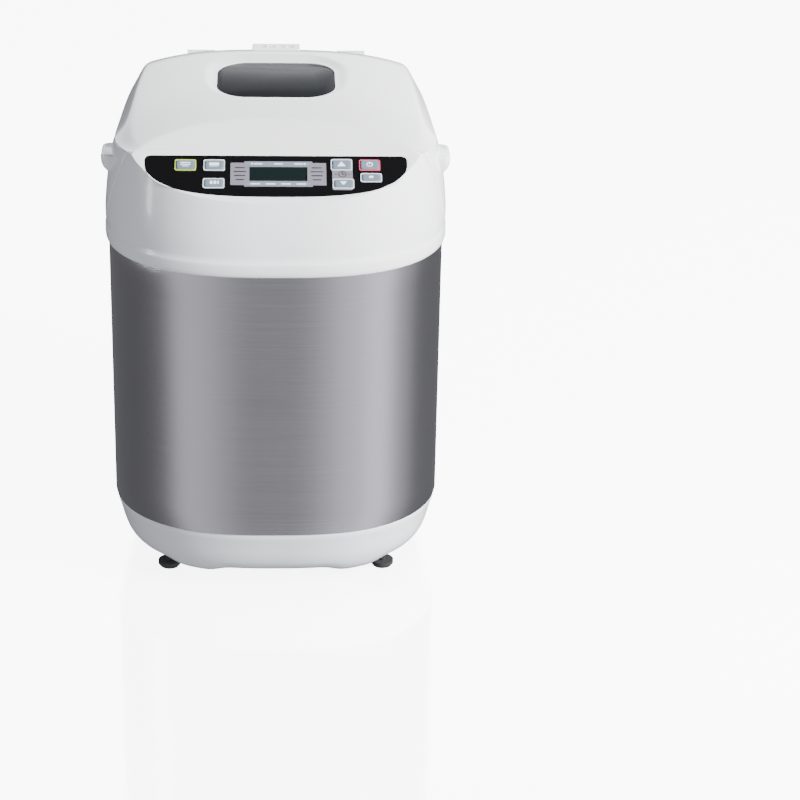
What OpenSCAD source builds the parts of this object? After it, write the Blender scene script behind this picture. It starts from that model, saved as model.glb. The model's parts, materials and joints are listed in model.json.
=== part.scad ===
// Bread machine with a steel band, a sloping control panel and a hinged lid with a window.
// Origin: on the surface it stands on, under the middle of the casing. The front faces -Y.

/* [Casing] */
// Widest part of the steel band
band_w = 258; // [240:1:320]
// Depth of the casing, front to back
body_d = 310; // [290:1:360]
// Distance from the front of the band back to its widest part
widest_back = 98.6; // [90:0.1:110]
// Height of the rubber feet
foot_h = 5; // [4:0.5:8]
// Height of the white base
base_h = 47; // [40:1:60]
// Height of the steel band
band_h = 215; // [170:1:260]
// Height of the white housing from the band to the lid
housing_h = 77.5; // [74:0.5:90]
// Rise of the lid's crest above its lower edge
lid_rise = 31; // [28:0.5:36]
// How far the bead round the fascia stands out from the band
bead_out = 2.5; // [1.5:0.1:3]
// Thickness of the plastic walls
wall = 2.5; // [2:0.1:3.5]
// Thickness of the steel band
band_t = 0.8; // [0.5:0.1:1.2]
// Radius of a rubber foot
foot_r = 9; // [7:0.5:12]

/* [Control panel] */
// Slope of the control panel
panel_tilt = 26; // [20:0.5:30]
// Length of the sloping panel, from its lower edge up to the lid
panel_len = 55.2; // [50:0.1:60]
// Width of the black overlay
overlay_w = 195; // [180:1:205]
// Thickness of the black overlay
overlay_t = 1.2; // [0.8:0.1:2]
// Width of a button's face
button_w = 13.6; // [11:0.1:15]
// Height of a button's face in the upper row
button_h = 9.2; // [7:0.1:10]
// Height of a button's face in the lower row
small_button_h = 7.8; // [6:0.1:8.5]
// How far a button stands above the overlay
button_proud = 1.3; // [1:0.1:2]
// Travel of a button
button_travel = 0.8; // [0.5:0.1:1.2]
// Width of the frame round a button
frame_w = 1.1; // [0.8:0.1:1.4]
// Width of the display's grey plate
plate_w = 71; // [60:1:74]
// Height of the display's grey plate
plate_h = 26; // [22:0.5:28]
// Width of the display glass
display_w = 43; // [36:1:48]
// Height of the display glass
display_h = 14.6; // [12:0.2:16]

/* [Lid] */
// Gap between the lid and the housing
lid_gap = 0.5; // [0.4:0.1:1]
// Distance from the front of the band back to the lid hinge
hinge_back = 286; // [280:1:290]
// Height of the hinge pin above the lid's lower edge
hinge_up = 6; // [5:0.5:8]
// Radius of the hinge pin
hinge_pin_r = 2; // [1.5:0.1:2.5]
// Distance between the two hinges
hinge_span = 124; // [100:1:150]
// Width of the window opening
window_w = 92; // [80:1:112]
// Depth of the window opening, front to back
window_d = 77; // [60:1:84]
// Corner radius of the window opening
window_r = 24; // [15:1:30]
// Thickness of the window glass
glass_t = 3; // [2:0.5:4]

/* [Oven] */
// Inside width of the oven chamber
chamber_w = 168; // [160:1:176]
// Inside depth of the oven chamber, front to back
chamber_d = 156; // [150:1:160]
// Corner radius of the oven chamber
chamber_r = 22; // [12:1:30]
// Thickness of the chamber's sheet
chamber_t = 1; // [0.6:0.1:1.5]
// Height of the chamber floor above the table
chamber_z = 118; // [115:1:125]
// Distance from the front of the band back to the middle of the chamber
chamber_back = 166; // [164:1:168]
// Radius of the heating element's tube
element_r = 3; // [2.5:0.1:3.5]
// Height of the heating element above the chamber floor
element_up = 32; // [28:1:60]

/* [Bread pan] */
// Outside width of the bread pan
pan_w = 144; // [130:1:146]
// Outside depth of the bread pan, front to back
pan_d = 132; // [120:1:134]
// Height of the bread pan's walls
pan_h = 165; // [130:1:168]
// Corner radius of the bread pan
pan_r = 24; // [15:1:30]
// Thickness of the bread pan
pan_t = 1.6; // [1.2:0.1:2.5]
// Radius of the ring under the pan
pan_ring_r = 45; // [40:1:50]
// Height of the ring under the pan
pan_ring_h = 32; // [28:1:36]
// Radius of the bail handle's wire
bail_r = 2; // [1.5:0.1:2.5]

/* [Drive] */
// Radius of the kneading shaft in the pan
shaft_r = 4; // [3.5:0.1:5]
// Radius of the drive shaft under the oven
drive_r = 5; // [4:0.5:6]
// Radius of the large pulley
pulley_r = 52; // [45:1:56]
// Radius of the motor's pulley
motor_pulley_r = 9; // [8:0.5:12]
// Width of the belt
belt_w = 8; // [6:0.5:10]
// Thickness of the belt
belt_t = 2; // [1.5:0.1:3]
// Radius of the motor
motor_r = 29; // [26:0.5:30]
// Height of the motor
motor_h = 72; // [60:1:90]
// Radial clearance of a shaft in its bush
run_fit = 0.06; // [0.03:0.01:0.1]
// Clearance between pieces that slide past each other
slide_fit = 0.3; // [0.25:0.05:0.5]

/* [Mains inlet] */
// Radius of the hole for the mains lead
lead_r = 3.5; // [3:0.1:4.5]
// Height of the inlet above the table
inlet_z = 34; // [30:1:40]
// Distance of the inlet to the right of the middle, seen from the front
inlet_x = 60; // [40:1:70]

/* [Hidden] */
$fn = 48;

white = [0.86, 0.87, 0.88];
steel = [0.62, 0.61, 0.63];
dark = [0.16, 0.16, 0.17];

// Heights of the casing's seams above the table
base_z = foot_h;
band_z = foot_h + base_h;
housing_z = band_z + band_h;
deck_z = housing_z + housing_h;
lid_z = deck_z + lid_gap;
crest_z = lid_z + lid_rise;

// Places along the depth, measured from the middle of the whole depth with its bead
front_y = (bead_out - body_d) / 2;
back_y = front_y + body_d;
widest_y = front_y + widest_back;
half_w = band_w / 2;
chamber_y = front_y + chamber_back;

// The panel's plane rises from its lower edge to the lid's front edge
seam_rise = 2;
seam_z = lid_z + seam_rise;
seam_y = front_y + 7 + panel_len * cos(panel_tilt);
panel_y = seam_y - panel_len * cos(panel_tilt);
panel_z = seam_z - panel_len * sin(panel_tilt);

// ---- Shapes shared by several pieces ----

// Outline of the casing seen from above: full in front, squarer and narrower at the back
front_bow = 2.06;
side_bow = 2.74;
back_square = 5;
back_taper = 0.08;
quarter = 10;

function casing_ring(half, front, back, z) = let (f = widest_y - front, b = back - widest_y,
    right = concat(
        [for (i = [0:quarter]) let (t = 90 * i / quarter)
            [half * pow(sin(t), 2 / side_bow), widest_y - f * pow(cos(t), 2 / front_bow), z]],
        [for (i = [1:quarter]) let (t = 90 * i / quarter, u = pow(sin(t), 2 / back_square))
            [half * (1 - back_taper * u) * pow(cos(t), 2 / back_square), widest_y + b * u, z]]))
    concat(right, [for (i = [2 * quarter - 1:-1:1]) [-right[i][0], right[i][1], right[i][2]]]);

// A casing ring drawn in all round by the same amount
function inset_ring(inset, z) = casing_ring(half_w - inset, front_y + inset, back_y - inset, z);

function flat(ring) = [for (p = ring) [p[0], p[1]]];

// Solid through a stack of rings, capped at its ends
module loft(rings) {
    n = len(rings[0]);
    m = len(rings);
    sides = [for (k = [0:m - 2]) for (i = [0:n - 1]) let (j = (i + 1) % n, a = k * n, b = a + n)
        each [[a + i, b + i, b + j], [a + i, b + j, a + j]]];
    foot = [for (i = [0:n - 1]) i];
    top = [for (i = [n - 1:-1:0]) (m - 1) * n + i];
    polyhedron([for (ring = rings) each ring], concat([foot, top], sides));
}

// Rectangle with round corners, centred
module round_rect(w, d, r) {
    square([w - 2 * r, d], center = true);
    square([w, d - 2 * r], center = true);
    for (x = [-1, 1]) for (y = [-1, 1])
        translate([x * (w / 2 - r), y * (d / 2 - r)]) circle(r);
}

module round_box(w, d, r, h) {
    linear_extrude(h) round_rect(w, d, r);
}

// Upright tube of rectangular section with round corners, standing outside an inner size
module round_tube(w, d, r, t, h) {
    linear_extrude(h) difference() {
        round_rect(w + 2 * t, d + 2 * t, r + t);
        round_rect(w, d, r);
    }
}

// Rod that lies along X, centred
module rod_x(r, length) {
    rotate([0, 90, 0]) cylinder(r = r, h = length, center = true);
}

// Places children on the panel: X across, Y up the slope from its lower edge, Z out of it
module on_panel() {
    translate([0, panel_y, panel_z]) rotate([panel_tilt, 0, 0]) children();
}

// Everything in front of the seam between the fascia and the housing
module front_zone() {
    rotate([90, 0, 90]) linear_extrude(band_w + 40, center = true) polygon([
        [front_y - 20, housing_z - 1], [widest_y - 14.5, housing_z - 1], [widest_y - 18.5, housing_z + 12],
        [widest_y - 28.5, housing_z + 32], [widest_y - 38.5, deck_z - 20], [seam_y, deck_z - 8],
        [seam_y, seam_z + 20], [front_y - 20, seam_z + 20]]);
}

// Everything above the panel's plane, lowered by a depth
module above_panel(depth) {
    on_panel() translate([-band_w, -120, -depth]) cube([2 * band_w, 400, 120]);
}

// ---- Base ----

// Side of the base: height above its underside, and how far it is drawn in
base_sides = [[0, 18], [2, 14.5], [6, 12], [17, 7.5], [32, 4]];
base_inset = 0.4;
floor_t = 3;

module base_tray() {
    rings = concat(
        [for (p = base_sides) inset_ring(p[1], base_z + p[0])],
        [inset_ring(base_inset + 0.6, band_z - 3), inset_ring(base_inset, band_z)],
        [inset_ring(base_inset + wall, band_z), inset_ring(base_inset + wall + 1, band_z - 4)],
        [for (k = [len(base_sides) - 1:-1:2]) inset_ring(base_sides[k][1] + wall, base_z + base_sides[k][0])],
        [inset_ring(base_sides[1][1] + wall + 1, base_z + floor_t)]);
    color(white) difference() {
        loft(rings);
        translate([0, chamber_y, base_z - 1]) round_box(plate_hole_w, plate_hole_d, 10, floor_t + 2);
        inlet_hole(gland_r);
        for (p = foot_places) translate([p[0], p[1], base_z - 1]) cylinder(r = foot_stem_r, h = floor_t + 2);
    }
}

plate_hole_w = 150;
plate_hole_d = 130;
plate_t = 1;

module bottom_plate() {
    color(steel) translate([0, chamber_y, base_z + floor_t]) difference() {
        round_box(plate_hole_w + 24, plate_hole_d + 24, 12, plate_t);
        for (x = [-5:5]) for (y = [-1, 1])
            translate([x * 11, y * 36, -1]) round_box(3.2, 34, 1.5, plate_t + 2);
    }
}

foot_stem_r = 3;
foot_places = [for (x = [-85, 85]) for (y = [front_y + 50, back_y - 50]) [x, y]];

module rubber_feet() {
    color(dark) for (p = foot_places) translate([p[0], p[1], 0]) {
        cylinder(r1 = foot_r - 1.5, r2 = foot_r, h = 2);
        translate([0, 0, 2]) cylinder(r = foot_r, h = foot_h - 2);
        translate([0, 0, foot_h]) cylinder(r = foot_stem_r, h = floor_t);
    }
}

gland_r = 7;
gland_len = 20;
gland_flange_r = 10;
gland_end_y = back_y - 4;

module inlet_hole(r) {
    translate([inlet_x, back_y + 5, inlet_z]) rotate([90, 0, 0]) cylinder(r = r, h = 40);
}

module mains_gland() {
    color(dark) difference() {
        translate([inlet_x, gland_end_y, inlet_z]) rotate([90, 0, 0]) {
            cylinder(r = gland_r, h = gland_len);
            translate([0, 0, gland_len - 3]) cylinder(r = gland_flange_r, h = 3);
        }
        translate([inlet_x, back_y + 5, inlet_z]) rotate([90, 0, 0]) cylinder(r = lead_r, h = 60);
    }
}

// ---- Casing ----

module steel_band() {
    color(steel) translate([0, 0, band_z]) linear_extrude(band_h) difference() {
        polygon(flat(inset_ring(0, 0)));
        polygon(flat(inset_ring(band_t, 0)));
    }
}

// Side of the housing: height above the band, half width beyond the band, setback of the front
housing_sides = [[0, 1.5, -1.5], [4, bead_out, -bead_out], [10, bead_out, -bead_out], [13, 2, -1],
    [16, 2.1, 0], [24, 2.2, 0.6], [34, 1.4, 2.2], [44, 0.4, 4.2], [56, -1.2, 7], [66, -3, 10],
    [74, -5.2, 13], [78, -6.5, 15], [80.2, -15, 22], [84, -40, 50]];

function housing_ring(p, inset) = casing_ring(half_w + p[1] - inset, front_y + p[2] + inset,
    back_y - max(0, -p[1]) - inset, housing_z + p[0] * housing_h / 77.5);

// The housing's outer form, drawn in by a wall
module housing_form(inset) {
    loft([for (p = housing_sides) housing_ring(p, inset)]);
}

mouth_gap = 1;

module upper_housing() {
    color(white) difference() {
        housing_form(0);
        translate([0, 0, -0.01]) intersection() {
            housing_form(wall);
            translate([-band_w, front_y - 5, 0]) cube([2 * band_w, body_d + 10, deck_z - wall]);
        }
        front_zone();
        translate([-band_w, front_y - 5, deck_z]) cube([2 * band_w, body_d + 10, 60]);
        translate([0, chamber_y, deck_z - 10])
            round_box(chamber_w + 2 * chamber_t + 2 * mouth_gap, chamber_d + 2 * chamber_t + 2 * mouth_gap,
                chamber_r + chamber_t + mouth_gap, 20);
    }
}

module front_fascia() {
    color(white) on_panel() for (p = board_bosses) translate([p[0], p[1], -board_depth])
        cylinder(r = board_boss_r, h = board_depth - overlay_t - wall / 2);
    color(white) difference() {
        intersection() {
            housing_form(0);
            front_zone();
        }
        translate([0, 0, -0.01]) difference() {
            housing_form(wall);
            above_panel(wall + overlay_t);
        }
        above_panel(0);
        on_panel() {
            translate([0, 0, -overlay_t]) linear_extrude(10) overlay_outline(0.2);
            for (b = buttons) translate([b[0], b[1], -20])
                round_box(button_w + 4, b[2] + 4, 2, 30);
            translate([plate_x, plate_y, -20]) round_box(display_w + 4, display_h + 4, 1, 30);
        }
    }
}

handle_r = 24;
handle_out = 3.5;
handle_h = 28;

module side_handles() {
    color(white) difference() {
        for (x = [-1, 1]) translate([x * (half_w + handle_out - handle_r), widest_y - 2, deck_z - 1.5]) {
            translate([0, 0, -handle_h + 10]) cylinder(r = handle_r, h = handle_h - 10);
            translate([0, 0, -handle_h]) cylinder(r1 = handle_r - 8, r2 = handle_r, h = 10);
        }
        housing_form(0);
    }
}

// ---- Control panel ----

overlay_low = 6.8;
overlay_high = 49.2;

// Black overlay: straight along the top, bowed along the bottom
module overlay_outline(grow) {
    half = overlay_w / 2 + grow;
    reach = overlay_high - 3 - overlay_low + grow;
    bow = [for (i = [-32:32]) let (t = 90 * abs(i) / 32)
        [sign(i) * half * pow(sin(t), 2 / side_bow), overlay_high - 3 - reach * pow(cos(t), 2 / side_bow)]];
    polygon(concat(bow, [[half - 1, overlay_high - 1 + grow], [half - 4, overlay_high + grow],
        [-half + 4, overlay_high + grow], [-half + 1, overlay_high - 1 + grow]]));
}

plate_x = 1.7;
plate_y = 30;
plate_cut_w = 10;

// Buttons: place across, place up the slope, height of the face
upper_y = 39;
lower_y = 20.2;
menu_at = [-67.2, upper_y, button_h];
loaf_at = [-45.9, upper_y, button_h];
crust_at = [-46.1, lower_y, small_button_h];
up_at = [48.6, upper_y + 0.8, button_h];
down_at = [49.8, lower_y, small_button_h];
start_at = [69.6, upper_y + 0.6, button_h];
stop_at = [70.5, 26.6, 6.8];
buttons = [menu_at, loaf_at, crust_at, up_at, down_at, start_at, stop_at];
silver_at = [loaf_at, crust_at, up_at, down_at, stop_at];

module panel_overlay() {
    color("black") on_panel() translate([0, 0, -overlay_t]) difference() {
        linear_extrude(overlay_t) overlay_outline(0);
        for (b = buttons) translate([b[0], b[1], -1])
            round_box(button_w + 2 * slide_fit, b[2] + 2 * slide_fit, 1.2, 5);
        translate([plate_x, plate_y, -1]) round_box(display_w, display_h, 0.8, 5);
    }
}

// Grey plate with a window for the display, narrower above and below it
module display_plate() {
    color([0.55, 0.55, 0.6]) on_panel() translate([plate_x, plate_y, 0]) linear_extrude(0.4) difference() {
        union() {
            round_rect(plate_w, plate_h - 3, 1);
            round_rect(plate_w - 2 * plate_cut_w, plate_h, 1);
        }
        square([display_w, display_h], center = true);
    }
}

module display_glass() {
    color([0.05, 0.07, 0.07]) on_panel() translate([plate_x, plate_y, -overlay_t])
        round_box(display_w - 0.2, display_h - 0.2, 0.7, overlay_t - 0.2);
}

// Flat frame standing round one button
module button_frame(b) {
    on_panel() translate([b[0], b[1], 0]) linear_extrude(0.5) difference() {
        round_rect(button_w + 2 * frame_w, b[2] + 2 * frame_w, 1.6);
        round_rect(button_w + 2 * slide_fit, b[2] + 2 * slide_fit, 1.2);
    }
}

module silver_frames() { color([0.75, 0.78, 0.82]) for (b = silver_at) button_frame(b); }
module menu_frame() { color([0.7, 0.8, 0.3]) button_frame(menu_at); }
module start_frame() { color([0.85, 0.25, 0.35]) button_frame(start_at); }

board_depth = 12;
switch_h = 4;
stem_gap = button_travel + slide_fit;

// Push button: a face through the overlay, a stop flange behind it and a stem to its switch
module button(b) {
    color([0.45, 0.52, 0.58]) on_panel() translate([b[0], b[1], 0]) {
        translate([0, 0, -overlay_t - 1]) round_box(button_w, b[2], 1, overlay_t + 1 + button_proud);
        translate([0, 0, -overlay_t - 1.1]) round_box(button_w + 2, b[2] + 2, 1, 1 - slide_fit);
        translate([0, 0, -board_depth + switch_h + stem_gap]) cylinder(r = 2,
            h = board_depth - switch_h - stem_gap - overlay_t - 1);
    }
}

module menu_button() { button(menu_at); }
module loaf_button() { button(loaf_at); }
module crust_button() { button(crust_at); }
module up_button() { button(up_at); }
module down_button() { button(down_at); }
module start_button() { button(start_at); }
module stop_button() { button(stop_at); }

module lcd_module() {
    color([0.3, 0.35, 0.3]) on_panel() translate([plate_x, plate_y, -board_depth])
        round_box(display_w + 2, display_h + 2, 1, board_depth - overlay_t);
}

board_w = 167;
board_boss_r = 2.4;
board_bosses = [[-80, 40], [80.5, 40], [-28, 17], [33, 17]];
board_low = 13;
board_high = 47;
board_t = 1.6;

module control_board() {
    color([0.1, 0.35, 0.2]) on_panel() {
        translate([0, (board_low + board_high) / 2, -board_depth - board_t])
            round_box(board_w, board_high - board_low, 2, board_t);
        for (b = buttons) translate([b[0], b[1], -board_depth]) {
            translate([-3, -3, 0]) cube([6, 6, switch_h - 1]);
            cylinder(r = 1.6, h = switch_h);
        }
        translate([-22, 20, -board_depth - board_t - 8]) cylinder(r = 6, h = 8.1);
    }
}

// ---- Oven ----

flange_w = 7;
element_inset = 5;
element_z = chamber_z + element_up;
element_bend = 20;
terminal_x = 25;
terminal_bend = 4;
sensor_x = -48;
sensor_z = chamber_z + 80;
sensor_r = 3;
coupler_hole_r = 17;
bearing_top = chamber_z - 5;

// Quarter bend of a round tube, from +X to +Y about the origin
module bend(turn_r, tube_r) {
    rotate_extrude(angle = 90) translate([turn_r, 0]) circle(tube_r);
}

module oven_chamber() {
    wall_h = deck_z - chamber_z;
    color([0.7, 0.7, 0.7]) translate([0, chamber_y, 0]) difference() {
        union() {
            translate([0, 0, chamber_z - chamber_t])
                round_box(chamber_w + 2 * chamber_t, chamber_d + 2 * chamber_t,
                    chamber_r + chamber_t, chamber_t);
            translate([0, 0, chamber_z]) round_tube(chamber_w, chamber_d, chamber_r, chamber_t, wall_h);
            translate([0, 0, deck_z])
                round_tube(chamber_w, chamber_d, chamber_r, chamber_t + flange_w, chamber_t);
        }
        translate([0, 0, chamber_z - 5]) cylinder(r = coupler_hole_r, h = 10);
        for (x = [-1, 1]) translate([x * terminal_x, -chamber_d / 2, element_z])
            rotate([90, 0, 0]) cylinder(r = element_r + slide_fit, h = 10, center = true);
        translate([sensor_x, -chamber_d / 2, sensor_z])
            rotate([90, 0, 0]) cylinder(r = sensor_r + 0.2, h = 10, center = true);
    }
}

seat_h = 10;
seat_gap = 0.5;

module pan_seat() {
    color(steel) translate([0, chamber_y, chamber_z]) difference() {
        cylinder(r = pan_ring_r + seat_gap + 4, h = seat_h);
        translate([0, 0, -1]) cylinder(r = pan_ring_r + seat_gap, h = seat_h + 2);
    }
}

// Heating tube: a loop round the foot of the pan whose ends leave through the front wall
module heating_element() {
    half_x = chamber_w / 2 - element_inset;
    half_y = chamber_d / 2 - element_inset;
    run_x = half_x - element_bend;
    run_y = half_y - element_bend;
    color([0.25, 0.24, 0.24]) translate([0, chamber_y, element_z]) {
        for (x = [-1, 1]) {
            translate([x * half_x, 0, 0]) rotate([90, 0, 0])
                cylinder(r = element_r, h = 2 * run_y, center = true);
            translate([x * (run_x + terminal_x + terminal_bend) / 2, -half_y, 0])
                rod_x(element_r, run_x - terminal_x - terminal_bend);
            translate([x * terminal_x, -half_y - terminal_bend, 0]) rotate([90, 0, 0])
                cylinder(r = element_r, h = 16);
        }
        translate([0, half_y, 0]) rod_x(element_r, 2 * run_x);
        translate([run_x, run_y, 0]) bend(element_bend, element_r);
        translate([-run_x, run_y, 0]) rotate([0, 0, 90]) bend(element_bend, element_r);
        translate([-run_x, -run_y, 0]) rotate([0, 0, 180]) bend(element_bend, element_r);
        translate([run_x, -run_y, 0]) rotate([0, 0, 270]) bend(element_bend, element_r);
        translate([terminal_x + terminal_bend, -half_y - terminal_bend, 0]) rotate([0, 0, 90])
            bend(terminal_bend, element_r);
        translate([-terminal_x - terminal_bend, -half_y - terminal_bend, 0]) bend(terminal_bend, element_r);
    }
}

module element_clips() {
    reach = 8;
    color(steel) for (x = [-1, 1]) for (y = [-36, 36])
        translate([x * (chamber_w / 2 - reach / 2 - 0.5), chamber_y + y, element_z]) difference() {
            cube([reach + 1, 5, 4 * element_r], center = true);
            translate([x * (reach / 2 + 0.5 - element_inset), 0, 0])
                rotate([90, 0, 0]) cylinder(r = element_r, h = 10, center = true);
        }
}

module temperature_sensor() {
    color(steel) translate([sensor_x, chamber_y - chamber_d / 2, sensor_z]) rotate([90, 0, 0]) {
        translate([0, 0, -4]) cylinder(r = sensor_r, h = 16);
        translate([0, 0, chamber_t]) cylinder(r = 6, h = 2);
    }
}

module thermal_fuse() {
    color([0.9, 0.9, 0.85]) translate([-chamber_w / 2 - chamber_t, chamber_y, sensor_z]) {
        translate([-2, -8, -4]) cube([2, 16, 8]);
        translate([-5, 0, 0]) rotate([90, 0, 0]) cylinder(r = 3, h = 20, center = true);
    }
}

// ---- Chassis and drive ----

chassis_t = 2.5;
chassis_z = chamber_z - 28;
chassis_inset = 14;
post_r = 8;
post_hole_r = 2;
post_places = [for (x = [-81, 81]) for (y = [front_y + 68, front_y + 262]) [x, y]];
motor_x = -42;
motor_y = front_y + 42;
pulley_z = chassis_z - 26;
pulley_h = belt_w + 4;
bearing_r = 13;
bush_r = 9;
bush_h = 8;
coupler_r = 14;
coupler_z = chamber_z + 2;
dog_h = 8;

module chassis_plate() {
    color(steel) translate([0, 0, chassis_z - chassis_t]) difference() {
        linear_extrude(chassis_t) polygon(flat(inset_ring(chassis_inset, 0)));
        translate([0, chamber_y, -1]) cylinder(r = bearing_r, h = chassis_t + 2);
        translate([motor_x, motor_y, -1]) cylinder(r = motor_pulley_r + 4, h = chassis_t + 2);
        for (p = post_places) translate([p[0], p[1], -1]) cylinder(r = post_hole_r + 0.3, h = chassis_t + 2);
    }
}

module chassis_posts() {
    low = base_z + floor_t;
    color(steel) for (p = post_places) translate([p[0], p[1], low]) difference() {
        cylinder(r = post_r, h = chassis_z - chassis_t - low);
        translate([0, 0, chassis_z - chassis_t - low - 16]) cylinder(r = post_hole_r, h = 20);
    }
}

module chassis_screws() {
    color(dark) for (p = post_places) translate([p[0], p[1], chassis_z]) {
        cylinder(r = 4, h = 2.6);
        translate([0, 0, -16]) cylinder(r = post_hole_r, h = 16.1);
    }
}

module bearing_housing() {
    low = chassis_z - 12;
    color([0.6, 0.6, 0.62]) translate([0, chamber_y, 0]) difference() {
        union() {
            translate([0, 0, low]) cylinder(r = bearing_r, h = bearing_top - low);
            translate([0, 0, chassis_z]) cylinder(r = bearing_r + 12, h = 4);
        }
        translate([0, 0, low - 1]) cylinder(r = bush_r - 1.5, h = 60);
        translate([0, 0, low - 1]) cylinder(r = bush_r, h = bush_h + 1);
        translate([0, 0, bearing_top - bush_h]) cylinder(r = bush_r, h = bush_h + 1);
    }
}

module drive_bushes() {
    color([0.7, 0.5, 0.25]) for (z = [chassis_z - 12, bearing_top - bush_h])
        translate([0, chamber_y, z]) difference() {
        cylinder(r = bush_r, h = bush_h);
        translate([0, 0, -1]) cylinder(r = drive_r + run_fit, h = bush_h + 2);
    }
}

module motor_body() {
    color([0.35, 0.36, 0.38]) translate([motor_x, motor_y, chassis_z]) difference() {
        union() {
            cylinder(r = motor_r, h = motor_h * 0.28);
            translate([0, 0, motor_h * 0.28]) cylinder(r = motor_r - 3, h = motor_h * 0.44);
            translate([0, 0, motor_h * 0.72]) cylinder(r = motor_r, h = motor_h * 0.28);
        }
        translate([0, 0, -1]) cylinder(r = motor_shaft_r + run_fit, h = motor_h - 4);
    }
}

motor_shaft_r = 4;

module motor_capacitor() {
    color([0.85, 0.85, 0.8]) translate([8, motor_y - 4, chassis_z]) {
        cylinder(r = 14, h = 46);
        translate([0, 0, 46]) cylinder(r = 10, h = 3);
    }
}

module power_board() {
    color([0.1, 0.35, 0.2]) translate([34, motor_y + 16, chassis_z]) {
        cube([58, 1.6, 78]);
        translate([6, -18, 30]) cube([26, 18.1, 22]);
        translate([38, -14, 12]) cube([14, 14.1, 18]);
        translate([38, -14, 44]) cube([14, 14.1, 18]);
        translate([4, -6, 0]) cube([50, 12, 3]);
    }
}

// Flat-belt pulley with two rims
module pulley(r, bore) {
    rim = 2;
    difference() {
        union() {
            cylinder(r = r, h = pulley_h);
            cylinder(r = r + rim, h = (pulley_h - belt_w) / 2 - 0.4);
            translate([0, 0, pulley_h - (pulley_h - belt_w) / 2 + 0.4])
                cylinder(r = r + rim, h = (pulley_h - belt_w) / 2 - 0.4);
        }
        translate([0, 0, -1]) cylinder(r = bore, h = pulley_h + 2);
    }
}

module drive_pulley() {
    color([0.85, 0.85, 0.82]) translate([0, chamber_y, pulley_z]) difference() {
        pulley(pulley_r, drive_r);
        for (i = [0:5]) rotate([0, 0, 60 * i + 30]) translate([pulley_r * 0.58, 0, -1])
            cylinder(r = 11, h = pulley_h + 2);
    }
}

module drive_shaft() {
    color(steel) translate([0, chamber_y, pulley_z - 4])
        cylinder(r = drive_r, h = coupler_z + 6 - pulley_z + 4);
}

module drive_coupler() {
    color(steel) translate([0, chamber_y, coupler_z]) difference() {
        union() {
            cylinder(r = coupler_r, h = 6);
            for (x = [-1, 1]) translate([x * 10.5 - 2.5, -4, 5.9]) cube([5, 8, dog_h + 0.1]);
        }
        translate([0, 0, -1]) cylinder(r = drive_r, h = 8);
    }
}

module motor_shaft() {
    color(steel) translate([motor_x, motor_y, pulley_z - 4])
        cylinder(r = motor_shaft_r, h = chassis_z + motor_h - 8 - pulley_z);
}

module motor_pulley() {
    color([0.85, 0.85, 0.82]) translate([motor_x, motor_y, pulley_z]) pulley(motor_pulley_r, motor_shaft_r);
}

belt_gap = 0.3;

module belt_loop(grow) {
    hull() {
        translate([0, chamber_y]) circle(pulley_r + grow, $fn = 96);
        translate([motor_x, motor_y]) circle(motor_pulley_r + grow, $fn = 48);
    }
}

module drive_belt() {
    color(dark) translate([0, 0, pulley_z + (pulley_h - belt_w) / 2]) linear_extrude(belt_w) difference() {
        belt_loop(belt_gap + belt_t);
        belt_loop(belt_gap);
    }
}

// ---- Lid ----

// Heights of the lid's top, back from the front of the band
crest_back = 210;
crease_half = 103;
lid_back = 277;
lid_front = seam_y - front_y + 0.6;
front_curve = 0.00096;
back_curve = 0.00675;
front_drop = 6.4;
back_drop = 11.2;

function lid_middle(b) = crest_z - (b < crest_back ? front_curve : back_curve) * pow(b - crest_back, 2);
function lid_drop(x, b) = (front_drop + (back_drop - front_drop) * (b - lid_front) / (232 - lid_front))
    * pow(abs(x) / crease_half, 3);
function lid_top(x, b) = min(seam_z + (b - lid_front) * tan(panel_tilt), lid_middle(b) - lid_drop(x, b));

// Half width of the lid's lower edge at a distance back
function edge_half(b, inset) = let (half = half_w - 6.5 - inset, f = widest_back - 15 - inset,
        r = body_d - widest_back - 6.5 - inset, s = (widest_back - b) / f, u = (b - widest_back) / r)
    b < widest_back ? half * pow(1 - pow(s, front_bow), 1 / side_bow)
        : half * (1 - back_taper * u) * pow(1 - pow(u, back_square), 1 / back_square);

// Cross-section of the lid: share of the half width or of the crease, and share of the rise
section = [0, 0.3, 0.6, 0.8, 0.92];
side_run = 10.5;

function lid_row(b, inset, low) = let (w = edge_half(b, inset), c = w - side_run,
        h = lid_top(c, b) - inset,
        half = concat(
            [for (s = section) [s * c, max(low, lid_top(s * c, b) - inset)]],
            [[c + 0.3, max(low, h - 0.4)], [c + side_run * 0.6, max(low, lid_z + (h - lid_z) * 0.6)],
                [w, max(low, min(lid_z + 1, h))]]))
    concat([for (i = [len(half) - 1:-1:1]) [-half[i][0], front_y + b, half[i][1]]],
        [for (p = half) [p[0], front_y + b, p[1]]]);

lid_stations = [0, 0.03, 0.07, 0.11, 0.15, 0.2, 0.3, 0.4, 0.5, 0.6, 0.7, 0.76, 0.82, 0.88, 0.94, 1];

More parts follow.
